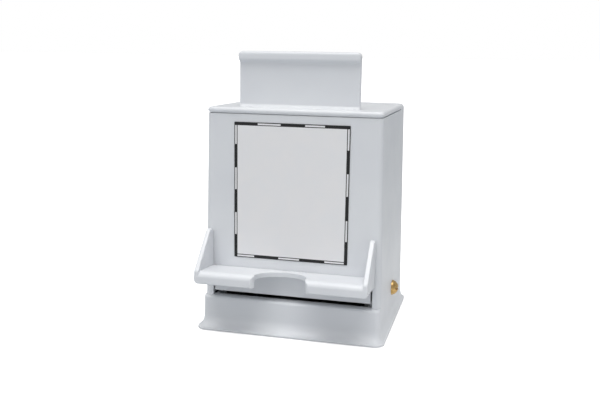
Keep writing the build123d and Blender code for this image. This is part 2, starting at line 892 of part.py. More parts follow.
def filament_mount():
    """The glass stem on its disc in the neck, the two support wires and the filament."""
    stem = rod_x(stem_radius, glass_start_x, glass_start_x + stem_length, lamp_y, lamp_height)
    disc_radius = glass_neck_radius - glass_wall
    stem += rod_x(disc_radius, glass_start_x, glass_start_x + stem_disc, lamp_y, lamp_height)
    stem_end = glass_start_x + stem_length
    wires = []
    for side in (-1, 1):
        start = Vector(stem_end - stem_disc, lamp_y + side * stem_radius / 2, lamp_height)
        end = Vector(stem_end + support_wire_length, lamp_y + side * support_wire_spread, lamp_height)
        path = Line(start, end)
        wire = sweep(Plane(origin=start, z_dir=end - start) * Circle(support_wire_radius), path=path)
        wires.append(wire)
    x = stem_end + support_wire_length - support_wire_radius
    reach = support_wire_spread + filament_end
    coil = rod_y(filament_radius, x, lamp_y - reach, lamp_y + reach, lamp_height)
    return stem + wires + coil


def reflector():
    """The folded bright sheet under the lamp, screwed to the cross bar by its tongue."""
    t = reflector_thickness
    bottom = bar_top
    y0 = lamp_y - reflector_bottom_width / 2
    y1 = lamp_y + reflector_bottom_width / 2
    o0 = lamp_y - reflector_opening / 2
    o1 = lamp_y + reflector_opening / 2
    bend = bottom + reflector_bend
    top = bottom + reflector_height
    outline = [
        (y0, bottom),
        (y1, bottom),
        (o1, bend),
        (o1, top),
        (o1 - t, top),
        (o1 - t, bend + t / 4),
        (y1 - t / 2, bottom + t),
        (y0 + t / 2, bottom + t),
        (o0 + t, bend + t / 4),
        (o0 + t, top),
        (o0, top),
        (o0, bend),
    ]
    sheet = prism_x(outline, reflector_low_x, reflector_high_x)
    half = tongue_width / 2
    tongue_y = side_screw_y - bar_size / 2 + tongue_setback
    sheet += block(lamp_middle_x - half, lamp_middle_x + half, tongue_y, y0 + t, bottom, bottom + t)
    sheet -= rod_z(
        countersunk_radius + screw_hole_play, lamp_middle_x, side_screw_y, bottom - past, bottom + t + past
    )
    return sheet


def reflector_screw():
    """The pan-head screw that fixes the reflector's tongue to the bar."""
    seat = bar_top + reflector_thickness
    bottom = side_screw_height + screw_hole_play
    screw = rod_z(countersunk_radius, lamp_middle_x, side_screw_y, bottom, seat)
    screw += rod_z(small_head_radius, lamp_middle_x, side_screw_y, seat, seat + pan_head_height)
    return screw


def base_plate():
    """The bottom cover with its vents, carried by the cheeks' feet."""
    low = half_width(base_plate_top) - wall - base_plate_gap
    y0 = skirt_y + wall + base_plate_gap
    y1 = inner_rear_y - base_plate_gap
    plate = block(-low, low, y0, y1, base_plate_bottom, base_plate_top)
    plate = fillet(plate.edges().filter_by(Axis.Z), corner_radius)
    for i in range(vent_count):
        y = lamp_y + (i - (vent_count - 1) / 2) * vent_pitch
        slot = Pos(lamp_middle_x, y, base_plate_bottom - past) * SlotOverall(vent_length, vent_width)
        plate -= extrude(slot, amount=base_plate_thickness + 2 * past)
    for side in (-1, 1):
        for y in base_screw_rows():
            x = side * (cheek_inner - cheek_foot_width / 2)
            plate -= rod_z(
                base_screw_radius + screw_hole_play, x, y, base_plate_bottom - past, base_plate_top + past
            )
    return plate


def base_screws():
    """The four pan-head screws that hold the base plate to the cheeks' feet."""
    screws = []
    for side in (-1, 1):
        for y in base_screw_rows():
            x = side * (cheek_inner - cheek_foot_width / 2)
            top = base_plate_bottom + base_screw_length
            screw = rod_z(base_screw_radius, x, y, base_plate_bottom, top)
            head_bottom = base_plate_bottom - pan_head_height
            screw += rod_z(pan_head_radius, x, y, head_bottom, base_plate_bottom)
            screws.append(screw)
    return screws


def foot_places():
    """X and Y of each rubber foot."""
    y0 = front_y + foot_setback
    y1 = rear_y - foot_rear_setback
    return [(side * foot_x, y) for side in (-1, 1) for y in (y0, y1)]


def rubber_feet():
    """Four soft feet stuck under the base plate."""
    feet = []
    for x, y in foot_places():
        foot = Pos(x, y, foot_height / 2) * Cone(foot_radius - foot_taper, foot_radius, foot_height)
        feet.append(foot)
    return feet


def cord_gland():
    """The flanged bush in the rear wall that a cord would come out of."""
    y0 = inner_rear_y - gland_nut_thickness - gland_tail
    gland = rod_y(gland_thread_radius, gland_x, y0, rear_y, gland_height)
    y1 = rear_y + gland_flange_thickness
    flange = rod_y(gland_flange_radius, gland_x, rear_y, y1, gland_height)
    outer = flange.edges().filter_by(GeomType.CIRCLE).sort_by(Axis.Y)[-1]
    gland += fillet(outer, gland_flange_thickness / 2)
    return gland - rod_y(gland_bore_radius, gland_x, y0 - past, y1 + past, gland_height)


def gland_nut():
    """The hexagon nut that clamps the gland inside the rear wall."""
    across_corners = gland_nut_flat / math.cos(math.radians(30)) / 2
    outline = Pos(gland_x, inner_rear_y, gland_height) * Rot(90, 0, 0) * RegularPolygon(across_corners, 6)
    nut = extrude(outline, amount=gland_nut_thickness)
    hole = rod_y(
        gland_thread_radius + screw_hole_play,
        gland_x,
        inner_rear_y - gland_nut_thickness - past,
        inner_rear_y + past,
        gland_height,
    )
    return nut - hole


def label_plate():
    """The thin printed panel on the front wall."""
    outline = Pos(label_shift, front_y, (label_bottom + label_top) / 2) * Rot(90, 0, 0)
    outline *= RectangleRounded(label_width, label_top - label_bottom, label_corner)
    return extrude(outline, amount=label_thickness)


nodes = {
    "housing_shell": housing(),
    "lid": lid(),
    "hinge_pin": hinge_pin(),
    "dispensing_tray": tray(),
    "drawer_bed": drawer_bed(),
    "stop_screws": stop_screws(),
    "cheek_left": cheek(-1),
    "cheek_right": cheek(1),
    "warming_plate": warming_plate(),
    "hopper_back": hopper_back(),
    "chassis_screws": chassis_screws(),
    "cross_bar": cross_bar(),
    "side_screws": side_screws(),
    "lamp_socket": lamp_socket(),
    "socket_contact": socket_contact(),
    "socket_screws": socket_screws(),
    "lamp_cap": lamp_cap(),
    "lamp_glass": lamp_glass(),
    "filament_mount": filament_mount(),
    "reflector": reflector(),
    "reflector_screw": reflector_screw(),
    "base_plate": base_plate(),
    "base_screws": base_screws(),
    "rubber_feet": rubber_feet(),
    "cord_gland": cord_gland(),
    "gland_nut": gland_nut(),
    "label_plate": label_plate(),
}

for name, shape in nodes.items():
    solids = shape if isinstance(shape, list) else [shape]
    flat = [solid for piece in solids for solid in piece.solids()]
    part = flat[0] if len(flat) == 1 else Compound(children=flat)
    export_step(part, f"parts/{name}.step")
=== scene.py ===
"""Looks of a dental cartridge warmer: a white moulded box with a lid, a pull-out tray and a lamp.

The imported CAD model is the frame. The shell, lid and tray are shown by finer surfaces worked
out here in millimetres; every other CAD node stays and gets a procedural material.
"""
import json
import logging
import math
from dataclasses import dataclass, field
from enum import Enum

import bpy
import numpy as np
from mathutils import Matrix, Vector


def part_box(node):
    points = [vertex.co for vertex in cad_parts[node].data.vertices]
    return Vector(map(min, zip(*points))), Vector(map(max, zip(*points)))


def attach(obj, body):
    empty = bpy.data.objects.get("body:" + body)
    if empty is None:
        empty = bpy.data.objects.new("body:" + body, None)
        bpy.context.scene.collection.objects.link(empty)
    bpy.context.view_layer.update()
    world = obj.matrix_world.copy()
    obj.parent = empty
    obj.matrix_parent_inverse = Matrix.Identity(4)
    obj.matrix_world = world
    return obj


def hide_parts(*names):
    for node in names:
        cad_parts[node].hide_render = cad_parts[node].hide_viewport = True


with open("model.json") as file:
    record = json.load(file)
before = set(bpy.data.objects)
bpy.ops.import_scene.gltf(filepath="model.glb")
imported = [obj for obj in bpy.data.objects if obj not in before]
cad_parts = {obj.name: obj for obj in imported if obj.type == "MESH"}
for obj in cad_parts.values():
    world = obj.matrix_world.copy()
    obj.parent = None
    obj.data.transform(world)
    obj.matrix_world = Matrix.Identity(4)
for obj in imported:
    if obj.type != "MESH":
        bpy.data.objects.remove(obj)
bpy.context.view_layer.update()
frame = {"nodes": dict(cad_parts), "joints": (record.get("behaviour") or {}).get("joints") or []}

Piece = bpy.types.Object
Tree = bpy.types.NodeTree
Socket = bpy.types.NodeSocket
Vec3 = tuple[float, float, float]

MM = 0.001
LID_THICKNESS = 2.5
LUG_X = 24.0  # middle of each hinge lug, and of its notch in the lid
FAR = 60.0  # beyond the part on every side
PAST = 1.0  # how far a tool reaches past the face that it cuts
SKIN = 0.01  # keeps two faces from lying on each other
BORE_SIDES = 24  # faces round a narrow bore
BEVEL_ANGLE = 38  # edges sharper than this are eased, in degrees
NORMAL_WEIGHT = 60

log = logging.getLogger("warmer")


class Body(Enum):
    """The moving bodies that a piece can ride on."""

    CASE = "case"
    LID = "lid"
    TRAY = "tray"


class Cut(Enum):
    """What a boolean tool does to a piece."""

    ADD = "UNION"
    REMOVE = "DIFFERENCE"
    KEEP = "INTERSECT"


class Axis(Enum):
    """The axis that an outline is carried along, as the number of its coordinate."""

    X = 0
    Y = 1
    Z = 2


def span(node: str) -> tuple[np.ndarray, np.ndarray]:
    """Lowest and highest corner of a CAD node.

    Args:
        node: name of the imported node.

    Returns:
        Two arrays of X, Y and Z in millimetres.
    """
    low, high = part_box(node)
    return np.array(low) / MM, np.array(high) / MM


def middle(node: str) -> np.ndarray:
    """Middle of a CAD node's box, in millimetres."""
    low, high = span(node)
    return (low + high) / 2


def hinge_point() -> np.ndarray:
    """A point on the lid's hinge axis, in millimetres."""
    return np.array(frame["joints"][0]["pos_m"]) / MM


def linear(hex_code: str) -> tuple[float, float, float, float]:
    """Turns an sRGB hex colour into linear light.

    Args:
        hex_code: six hex digits, such as "E8E9EA".

    Returns:
        Linear red, green, blue and an alpha of one.
    """
    values = np.array([int(hex_code[i : i + 2], 16) for i in (0, 2, 4)]) / 255
    light = np.where(values <= 0.04045, values / 12.92, ((values + 0.055) / 1.055) ** 2.4)
    return (*(float(v) for v in light), 1.0)


# Surfaces


def round_plan(
    half_x: float, y_low: float, y_high: float, front: float, rear: float, steps: int = 6
) -> np.ndarray:
    """A rectangle in plan with quarter-circle corners, anticlockwise from the front right.

    Corner k is its centre plus radius times (cos t, sin t), with t from k quarter turns less
    one quarter to k quarter turns.

    Args:
        half_x: half the width.
        y_low: front edge.
        y_high: rear edge.
        front: radius of the two front corners.
        rear: radius of the two rear corners.
        steps: faces in each corner.

    Returns:
        Points of the closed outline, one row of X and Y each.
    """
    turn = np.linspace(-np.pi / 2, 0, steps + 1)
    radii = np.array([front, rear, rear, front])
    side = np.array([1, 1, -1, -1])
    centre_x = side * (half_x - radii)
    centre_y = np.array([y_low + front, y_high - rear, y_high - rear, y_low + front])
    angle = turn[None, :] + np.arange(4)[:, None] * np.pi / 2
    x = centre_x[:, None] + radii[:, None] * np.cos(angle)
    y = centre_y[:, None] + radii[:, None] * np.sin(angle)
    return np.stack([x.ravel(), y.ravel()], axis=1)


def round_outline(corners: list[Vec3], steps: int) -> np.ndarray:
    """A polygon whose corners are eased by arcs.

    A corner of radius r between unit edges a and b starts r / tan(half angle) before the
    corner and follows a circular arc about the point that is r from both edges.

    Args:
        corners: two coordinates and a radius for each, nought for a sharp one, in order.
        steps: faces in each arc.

    Returns:
        Points of the closed outline.
    """
    table = np.array(corners, float)
    points, radii = table[:, :2], table[:, 2]
    pieces = []
    for before, corner, after, radius in zip(
        np.roll(points, 1, 0), points, np.roll(points, -1, 0), radii
    ):
        if radius <= 0:
            pieces.append(corner[None])
            continue
        back = (before - corner) / np.linalg.norm(before - corner)
        ahead = (after - corner) / np.linalg.norm(after - corner)
        half = math.acos(np.clip(back @ ahead, -1, 1)) / 2
        inwards = (back + ahead) / np.linalg.norm(back + ahead)
        centre = corner + inwards * radius / math.sin(half)
        start = corner + back * radius / math.tan(half) - centre
        end = corner + ahead * radius / math.tan(half) - centre
        share = np.linspace(0, 1, steps + 1)[:, None]
        sweep = math.acos(np.clip(start @ end / radius**2, -1, 1))
        arc = (np.sin((1 - share) * sweep) * start + np.sin(share * sweep) * end) / math.sin(sweep)
        pieces.append(centre + arc)
    return np.concatenate(pieces)


def turns_left(outline: np.ndarray) -> bool:
    """Whether a closed outline runs anticlockwise, from the sign of its shoelace area."""
    first, second = outline[:, 0], outline[:, 1]
    return bool(np.sum(first * np.roll(second, -1) - second * np.roll(first, -1)) >= 0)


def at_level(outline: np.ndarray, axis: Axis, level: np.ndarray | float) -> np.ndarray:
    """Gives the points of an outline their third coordinate, one level for all or one each."""
    return np.insert(outline, axis.value, level, axis=1)


def solid(name: str, sections: list[np.ndarray]) -> Piece:
    """A closed skin through a stack of closed sections, with a flat face at each end.

    Point (i, j) of the grid is joined to (i, j + 1) round the section and to (i + 1, j) along
    the stack.

    Args:
        name: name of the new object.
        sections: one array of points for each row, in millimetres, all equally long.

    Returns:
        The new object, in millimetres.
    """
    points = np.stack(sections)
    rows, count, _ = points.shape
    row, column = np.meshgrid(np.arange(rows - 1), np.arange(count), indexing="ij")
    here, above = row * count, (row + 1) * count
    beside = (column + 1) % count
    sides = np.stack([here + column, here + beside, above + beside, above + column], axis=-1)
    last = (rows - 1) * count
    ends = [list(range(count - 1, -1, -1)), list(range(last, last + count))]
    mesh = bpy.data.meshes.new(name)
    mesh.from_pydata(points.reshape(-1, 3).tolist(), [], sides.reshape(-1, 4).tolist() + ends)
    mesh.validate()
    piece = bpy.data.objects.new(name, mesh)
    bpy.context.scene.collection.objects.link(piece)
    return piece


def prism(name: str, outline: np.ndarray, axis: Axis, low: float, high: float) -> Piece:
    """A flat outline carried in a straight line.

    Every outline point is repeated at the low and the high value of the axis; the outline is
    turned round first if its area, seen from the high end, is negative.

    Args:
        name: name of the new object.
        outline: points in the two other coordinates, in the order X, Y, Z.
        axis: the axis that it is carried along.
        low: where it starts.
        high: where it ends.

    Returns:
        The new object, in millimetres.
    """
    if turns_left(outline) == (axis is Axis.Y):
        outline = outline[::-1]
    return solid(name, [at_level(outline, axis, level) for level in (low, high)])


def box(name: str, low: Vec3, high: Vec3) -> Piece:
    """A tool block between two corners, carried up from its rectangle in plan."""
    plan = np.array([(low[0], low[1]), (high[0], low[1]), (high[0], high[1]), (low[0], high[1])])
    return prism(name, plan, Axis.Z, low[2], high[2])


def rod(
    name: str,
    radius: float,
    axis: Axis,
    low: float,
    high: float,
    centre: tuple[float, float],
    sides: int = 48,
) -> Piece:
    """A round bar: the circle centre plus radius times (cos t, sin t), carried along an axis.

    Args:
        name: name of the new object.
        radius: the circle's radius.
        axis: the axis that it is carried along.
        low: where it starts.
        high: where it ends.
        centre: the two other coordinates of its middle, in the order X, Y, Z.
        sides: faces round it.

    Returns:
        The new object, in millimetres.
    """
    turn = np.linspace(0, 2 * np.pi, sides, endpoint=False)
    circle = np.array(centre) + radius * np.stack([np.cos(turn), np.sin(turn)], axis=1)
    return prism(name, circle, axis, low, high)


def shape(piece: Piece, cut: Cut, tools: list[Piece]) -> None:
    """Works tools into a piece, then removes the tools.

    Args:
        piece: the object that is changed.
        cut: whether the tools are added, taken away, or the only parts kept.
        tools: the objects to work with.
    """
    for tool in tools:
        modifier = piece.modifiers.new("shape", "BOOLEAN")
        modifier.operation = cut.value
        modifier.solver = "EXACT"
        modifier.object = tool
    graph = bpy.context.evaluated_depsgraph_get()
    made = bpy.data.meshes.new_from_object(piece.evaluated_get(graph))
    piece.modifiers.clear()
    before = piece.data
    piece.data = made
    bpy.data.meshes.remove(before)
    for tool in tools:
        mesh = tool.data
        bpy.data.objects.remove(tool)
        bpy.data.meshes.remove(mesh)


def finish_mesh(piece: Piece, material: bpy.types.Material, edge: float, segments: int) -> None:
    """Brings a piece to metres, eases its sharp edges, evens its shading and coats it.

    Args:
        piece: an object in millimetres.
        material: what it is made of.
        edge: radius of the eased edges in millimetres.
        segments: faces across each eased edge.
    """
    piece.data.transform(Matrix.Scale(MM, 4))
    piece.data.shade_smooth()
    bevel = piece.modifiers.new("eased_edges", "BEVEL")
    bevel.width = edge * MM
    bevel.segments = segments
    bevel.limit_method = "ANGLE"
    bevel.angle_limit = math.radians(BEVEL_ANGLE)
    bevel.use_clamp_overlap = True
    bevel.miter_outer = "MITER_ARC"
    even = piece.modifiers.new("even_shading", "WEIGHTED_NORMAL")
    even.weight = NORMAL_WEIGHT
    even.keep_sharp = True
    piece.data.materials.append(material)


# Materials


def fill(tree: Tree, node: bpy.types.Node, inputs: dict[str | int, object]) -> None:
    """Fills sockets of a node.

    Args:
        tree: the material's node tree.
        node: the node.
        inputs: socket name or number, and a value or another node's output for it.
    """
    for key, value in inputs.items():
        if isinstance(value, Socket):
            tree.links.new(value, node.inputs[key])
        else:
            node.inputs[key].default_value = value


def add_node(
    tree: Tree, kind: str, inputs: dict[str | int, object] | None = None, **settings: object
) -> bpy.types.Node:
    """Adds a node, sets its properties and fills its sockets.

    Args:
        tree: the material's node tree.
        kind: the node's type.
        inputs: socket name or number, and a value or another node's output for it.
        settings: the node's own properties.

    Returns:
        The new node.
    """
    node = tree.nodes.new(kind)
    for key, value in settings.items():
        setattr(node, key, value)
    fill(tree, node, inputs or {})
    return node


def calc(tree: Tree, operation: str, *values: Socket | float) -> Socket:
    """The output of a Math node that works on numbers or other outputs."""
    numbered = dict(enumerate(values))
    return add_node(tree, "ShaderNodeMath", numbered, operation=operation).outputs[0]


def new_material(name: str) -> tuple[bpy.types.Material, Tree, bpy.types.Node]:
    """A material with an empty tree, a shader and its output.

    Args:
        name: what the material is called.

    Returns:
        The material, its node tree and its Principled shader.
    """
    material = bpy.data.materials.new(name)
    material.use_nodes = True
    tree = material.node_tree
    tree.nodes.clear()
    shader = add_node(tree, "ShaderNodeBsdfPrincipled")
    add_node(tree, "ShaderNodeOutputMaterial", {"Surface": shader.outputs[0]})
    return material, tree, shader


def place(tree: Tree, centre: Vec3 = (0, 0, 0), stretch: Vec3 = (1, 1, 1)) -> Socket:
    """Object coordinates moved so that a point in millimetres is their middle.

    Args:
        tree: the material's node tree.
        centre: the point in millimetres.
        stretch: how much closer together the pattern runs along each axis.

    Returns:
        The Vector output.
    """
    kind = "ShaderNodeVectorMath"
    where = add_node(tree, "ShaderNodeTexCoord").outputs["Object"]
    moved = add_node(tree, kind, {0: where, 1: Vector(centre) * MM}, operation="SUBTRACT")
    return add_node(tree, kind, {0: moved.outputs[0], 1: stretch}, operation="MULTIPLY").outputs[0]


def between(
    tree: Tree, value: Socket, low: float, high: float, start: float = 0.35, end: float = 0.65
) -> Socket:
    """Spreads a noise value from its usual range over another.

    Args:
        tree: the material's node tree.
        value: the output to spread.
        low: result at start.
        high: result at end.
        start: value that gives low.
        end: value that gives high.

    Returns:
        The result's output.
    """
    inputs = {"Value": value, "From Min": start, "From Max": end, "To Min": low, "To Max": high}
    return add_node(tree, "ShaderNodeMapRange", inputs).outputs["Result"]


def mix(tree: Tree, share: Socket | float, first: object, second: object) -> Socket:
    """Mixes two colours, each a value or an output.

    Args:
        tree: the material's node tree.
        share: how much of the second, a number or an output.
        first: the first colour.
        second: the second colour.

    Returns:
        The colour output.
    """
    inputs = {0: share, 6: first, 7: second}
    return add_node(tree, "ShaderNodeMix", inputs, data_type="RGBA").outputs[2]


def tint(
    tree: Tree, value: Socket, most: float, first: str, second: str, *ends: float
) -> Socket:
    """Tints a hex colour with a second one where a noise value is high.

    Args:
        tree: the material's node tree.
        value: the noise value's output.
        most: the second colour's largest share.
        first: hex colour at low values.
        second: hex colour mixed in at high values.
        ends: values where the tint begins and where it is full, if not the usual range.

    Returns:
        The colour output.
    """
    share = between(tree, value, 0.0, most, *ends)
    return mix(tree, share, linear(first), linear(second))


def noise(
    tree: Tree, where: Socket, size: float, detail: float = 3.0, rough: float = 0.5
) -> Socket:
    """A noise pattern of a real size.

    Args:
        tree: the material's node tree.
        where: the coordinates.
        size: size of its largest features in millimetres.
        detail: octaves.
        rough: strength of the finer ones.

    Returns:
        The grey value's output.
    """
    inputs = {"Vector": where, "Scale": 1 / (size * MM), "Detail": detail, "Roughness": rough}
    return add_node(tree, "ShaderNodeTexNoise", inputs).outputs[0]


def bump(
    tree: Tree, height: Socket, depth: float, strength: float, below: Socket | None = None
) -> Socket:
    """Turns a grey value into relief.

    Args:
        tree: the material's node tree.
        height: the grey value's output.
        depth: relief in millimetres.
        strength: how much of it shows.
        below: relief that it lies on.

    Returns:
        The normal output.
    """
    inputs = {"Height": height, "Distance": depth * MM, "Strength": strength}
    if below is not None:
        inputs["Normal"] = below
    return add_node(tree, "ShaderNodeBump", inputs).outputs["Normal"]


@dataclass(frozen=True)
class Finish:
    """A procedural material. Each kind works out the sockets of its shader."""

    name: str
    colour: str

    def sockets(self, tree: Tree) -> dict[str, object]:
        """What goes into the Principled shader.

        Args:
            tree: the material's node tree.

        Returns:
            Socket name, and a value or an output for it.
        """
        raise NotImplementedError

    def make(self) -> bpy.types.Material:
        """Builds the material from its sockets.

        Returns:
            The material.
        """
        material, tree, shader = new_material(self.name)
        fill(tree, shader, self.sockets(tree))
        return material


@dataclass(frozen=True)
class MouldedPlastic(Finish):
    """Injection-moulded thermoplastic: satin gloss with a very slight orange peel.

    The peel is 0.9 mm across, wider than the real 0.3 mm, so that it shows at all.
    """

    cooler: str
    gloss: float = 0.32
    dull: float = 0.42
    peel: float = 0.9
    relief: float = 0.004
    translucence: float = 0.0
    depth: float = 1.2

    def sockets(self, tree: Tree) -> dict[str, object]:
        """Slow colour flow, dull patches with vertical hairlines, and peel on long waves.

        Args:
            tree: the material's node tree.

        Returns:
            Socket name, and a value or an output for it.
        """
        where = place(tree)
        flow = noise(tree, where, size=34.0, detail=2.0)
        patches = noise(tree, where, size=9.0, detail=4.0)
        lines = noise(tree, place(tree, stretch=(1, 1, 14)), size=5.0, detail=5.0, rough=0.7)
        satin = between(tree, patches, self.gloss, self.dull)
        scuffs = between(tree, lines, low=0.0, high=0.06, start=0.6, end=0.72)
        long_waves = noise(tree, where, size=14.0, detail=1.0)
        waves = bump(tree, long_waves, depth=self.relief * 4, strength=0.5)
        peel = noise(tree, where, self.peel, detail=2.0)
        return {
            "Base Color": tint(tree, flow, 1.0, self.colour, self.cooler),
            "Roughness": calc(tree, "ADD", satin, scuffs),
            "Normal": bump(tree, peel, self.relief, strength=0.6, below=waves),
            "IOR": 1.54,
            "Subsurface Weight": self.translucence,
            "Subsurface Radius": (1.0, 1.0, 1.0),
            "Subsurface Scale": self.depth * MM,
        }


@dataclass(frozen=True)
class RolledSheet(Finish):
    """Mill-finish aluminium sheet: fine rolling lines along one axis and a soft sheen.

    The lines are 0.5 mm apart, coarser than real ones, so that they show.
    """

    roughness: float
    along: Axis = Axis.X
    closeness: float = 30.0

    def sockets(self, tree: Tree) -> dict[str, object]:
        """Noise drawn out along the rolling direction, over faint grey stains.

        Args:
            tree: the material's node tree.

        Returns:
            Socket name, and a value or an output for it.
        """
        stretch = tuple(1.0 if axis is self.along else self.closeness for axis in Axis)
        lines = noise(tree, place(tree, stretch=stretch), size=15.0, detail=4.0, rough=0.6)
        stains = noise(tree, place(tree), size=12.0, detail=4.0)
        return {
            "Base Color": tint(tree, stains, 0.5, self.colour, "9DA0A4"),
            "Roughness": between(tree, lines, self.roughness - 0.08, self.roughness + 0.1),
            "Normal": bump(tree, lines, depth=0.01, strength=0.5),
            "Metallic": 1.0,
        }


@dataclass(frozen=True)
class TurnedMetal(Finish):
    """Screws, caps and pins: rings left by the lathe, dulled in patches by handling."""

    tarnish: str
    roughness: float
    centre: Vec3 = (0, 0, 0)
    ring: float = 0.35

    def sockets(self, tree: Tree) -> dict[str, object]:
        """Rings about the X axis through the centre; a wave of scale 1 is 1/20 of a unit long.

        Args:
            tree: the material's node tree.

        Returns:
            Socket name, and a value or an output for it.
        """
        where = place(tree, self.centre)
        inputs = {
            "Vector": where,
            "Scale": 1 / (self.ring * MM) / 20,
            "Distortion": 0.4,
            "Detail": 1.0,
        }
        rings = add_node(tree, "ShaderNodeTexWave", inputs, wave_type="RINGS", rings_direction="X")
        patches = noise(tree, where, size=2.6, detail=4.0, rough=0.6)
        return {
            "Base Color": tint(tree, patches, 0.85, self.colour, self.tarnish, 0.42, 0.7),
            "Roughness": between(tree, patches, self.roughness, self.roughness + 0.18),
            "Normal": bump(tree, rings.outputs[1], depth=0.006, strength=0.4),
            "Metallic": 1.0,
        }


@dataclass(frozen=True)
class GrainedPolymer(Finish):
    """Rubber, phenolic and nylon: a dense dark polymer with a fine matte grain and dust."""

    dust: str
    roughness: float
    grain: float = 0.5
    relief: float = 0.02

    def sockets(self, tree: Tree) -> dict[str, object]:
        """Dust settled in patches over an even grain.

        Args:
            tree: the material's node tree.

        Returns:
            Socket name, and a value or an output for it.
        """
        where = place(tree)
        grain = noise(tree, where, self.grain, detail=3.0, rough=0.6)
        settled = noise(tree, where, size=7.0, detail=5.0, rough=0.6)
        return {
            "Base Color": tint(tree, settled, 0.4, self.colour, self.dust, 0.45, 0.75),
            "Roughness": between(tree, settled, self.roughness - 0.06, self.roughness + 0.08),
            "Normal": bump(tree, grain, self.relief, strength=0.5),
            "IOR": 1.52,
        }


@dataclass(frozen=True)
class BlownGlass(Finish):
    """Thin lamp glass: clear, with slow waves in its wall and a trace of dust."""

    def sockets(self, tree: Tree) -> dict[str, object]:
        """Clear glass, a little rougher and greyer in patches.

        Args:
            tree: the material's node tree.

        Returns:
            Socket name, and a value or an output for it.
        """
        where = place(tree)
        waves = noise(tree, where, size=8.0, detail=1.0)
        return {
            "Base Color": tint(tree, noise(tree, where, size=10.0), 0.3, self.colour, "E4E9E8"),
            "Roughness": between(tree, noise(tree, where, size=6.0), low=0.01, high=0.07),
            "Normal": bump(tree, waves, depth=0.05, strength=0.4),
            "Transmission Weight": 1.0,
            "IOR": 1.5,
        }


@dataclass(frozen=True)
class DashedBorder:
    """The border printed round the label: solid dashes and open dashes between thin lines.

    Each side's dashes are lengths in millimetres. The top and bottom run from the left, the
    left and right from the top. Only the top starts with a solid dash.
    """

    band: float = 1.4
    line: float = 0.36
    top: tuple[float, ...] = (10.3, 9.9, 10.5, 8.3, 10.9)
    bottom: tuple[float, ...] = (8.8, 11.0, 9.2, 11.2, 9.8)
    left: tuple[float, ...] = (9.4, 9.9, 9.4, 10.1, 9.8, 10.1)
    right: tuple[float, ...] = (10.0, 9.9, 9.3, 10.3, 9.0, 10.2)


@dataclass(frozen=True)
class PrintedFilm(Finish):
    """A printed plastic film: satin face, warm white ground and crisp black ink."""

    ink: str
    border: DashedBorder = DashedBorder()

    def sockets(self, tree: Tree) -> dict[str, object]:
        """The border's ink over the ground; each side measures inwards and along its edge.

        Args:
            tree: the material's node tree.

        Returns:
            Socket name, and a value or an output for it.
        """
        low, high = span("label_plate")
        where = place(tree)
        across, _, up = add_node(tree, "ShaderNodeSeparateXYZ", {0: where}).outputs
        left, right = (across, low[0], 1), (across, high[0], -1)
        bottom, top = (up, low[2], 1), (up, high[2], -1)
        width, height = high[0] - low[0], high[2] - low[2]
        ink = self.side_ink(tree, top, left, self.border.top, width, True)
        for side in (
            self.side_ink(tree, bottom, left, self.border.bottom, width, False),
            self.side_ink(tree, left, top, self.border.left, height, False),
            self.side_ink(tree, right, top, self.border.right, height, False),
        ):
            ink = calc(tree, "MAXIMUM", ink, side)
        ground = tint(tree, noise(tree, where, size=8.0), 1.0, self.colour, "E8E8EA")
        return {
            "Base Color": mix(tree, ink, ground, linear(self.ink)),
            "Roughness": between(tree, noise(tree, where, size=5.0), low=0.38, high=0.5),
            "Normal": bump(tree, noise(tree, where, size=0.8), depth=0.004, strength=0.5),
            "IOR": 1.5,
        }

    def away(self, tree: Tree, where: Socket, edge: float, sign: int) -> Socket:
        """Distance in millimetres from an edge of the label, inwards."""
        return calc(tree, "MULTIPLY", calc(tree, "SUBTRACT", where, edge * MM), sign / MM)

    def side_ink(
        self,
        tree: Tree,
        depth: tuple[Socket, float, int],
        along: tuple[Socket, float, int],
        dashes: tuple[float, ...],
        length: float,
        solid_first: bool,
    ) -> Socket:
        """Ink of one side of the border.

        Args:
            tree: the material's node tree.
            depth: coordinate, edge and sign of the distance into the label.
            along: coordinate, edge and sign of the distance along the side.
            dashes: lengths of the dashes in millimetres.
            length: length of the side.
            solid_first: whether the first dash is solid.

        Returns:
            An output that is one on ink.
        """
        into = self.away(tree, *depth)
        run = calc(tree, "DIVIDE", self.away(tree, *along), length)
        ramp = add_node(tree, "ShaderNodeValToRGB", {0: run})
        ramp.color_ramp.interpolation = "CONSTANT"
        stops = ramp.color_ramp.elements
        starts = np.concatenate([[0], np.cumsum(dashes)[:-1]]) / np.sum(dashes)
        for k, start in enumerate(starts):
            stop = stops[k] if k < 2 else stops.new(float(start))
            stop.position = float(start)
            stop.color = (1, 1, 1, 1) if (k % 2 == 0) == solid_first else (0, 0, 0, 1)
        outer_line = calc(tree, "LESS_THAN", into, self.border.line)
        inner_line = calc(tree, "GREATER_THAN", into, self.border.band - self.border.line)
        lines = calc(tree, "MAXIMUM", outer_line, inner_line)
        printed = calc(tree, "MAXIMUM", lines, ramp.outputs[0])
        return calc(tree, "MULTIPLY", printed, calc(tree, "LESS_THAN", into, self.border.band))


# Sub-assemblies


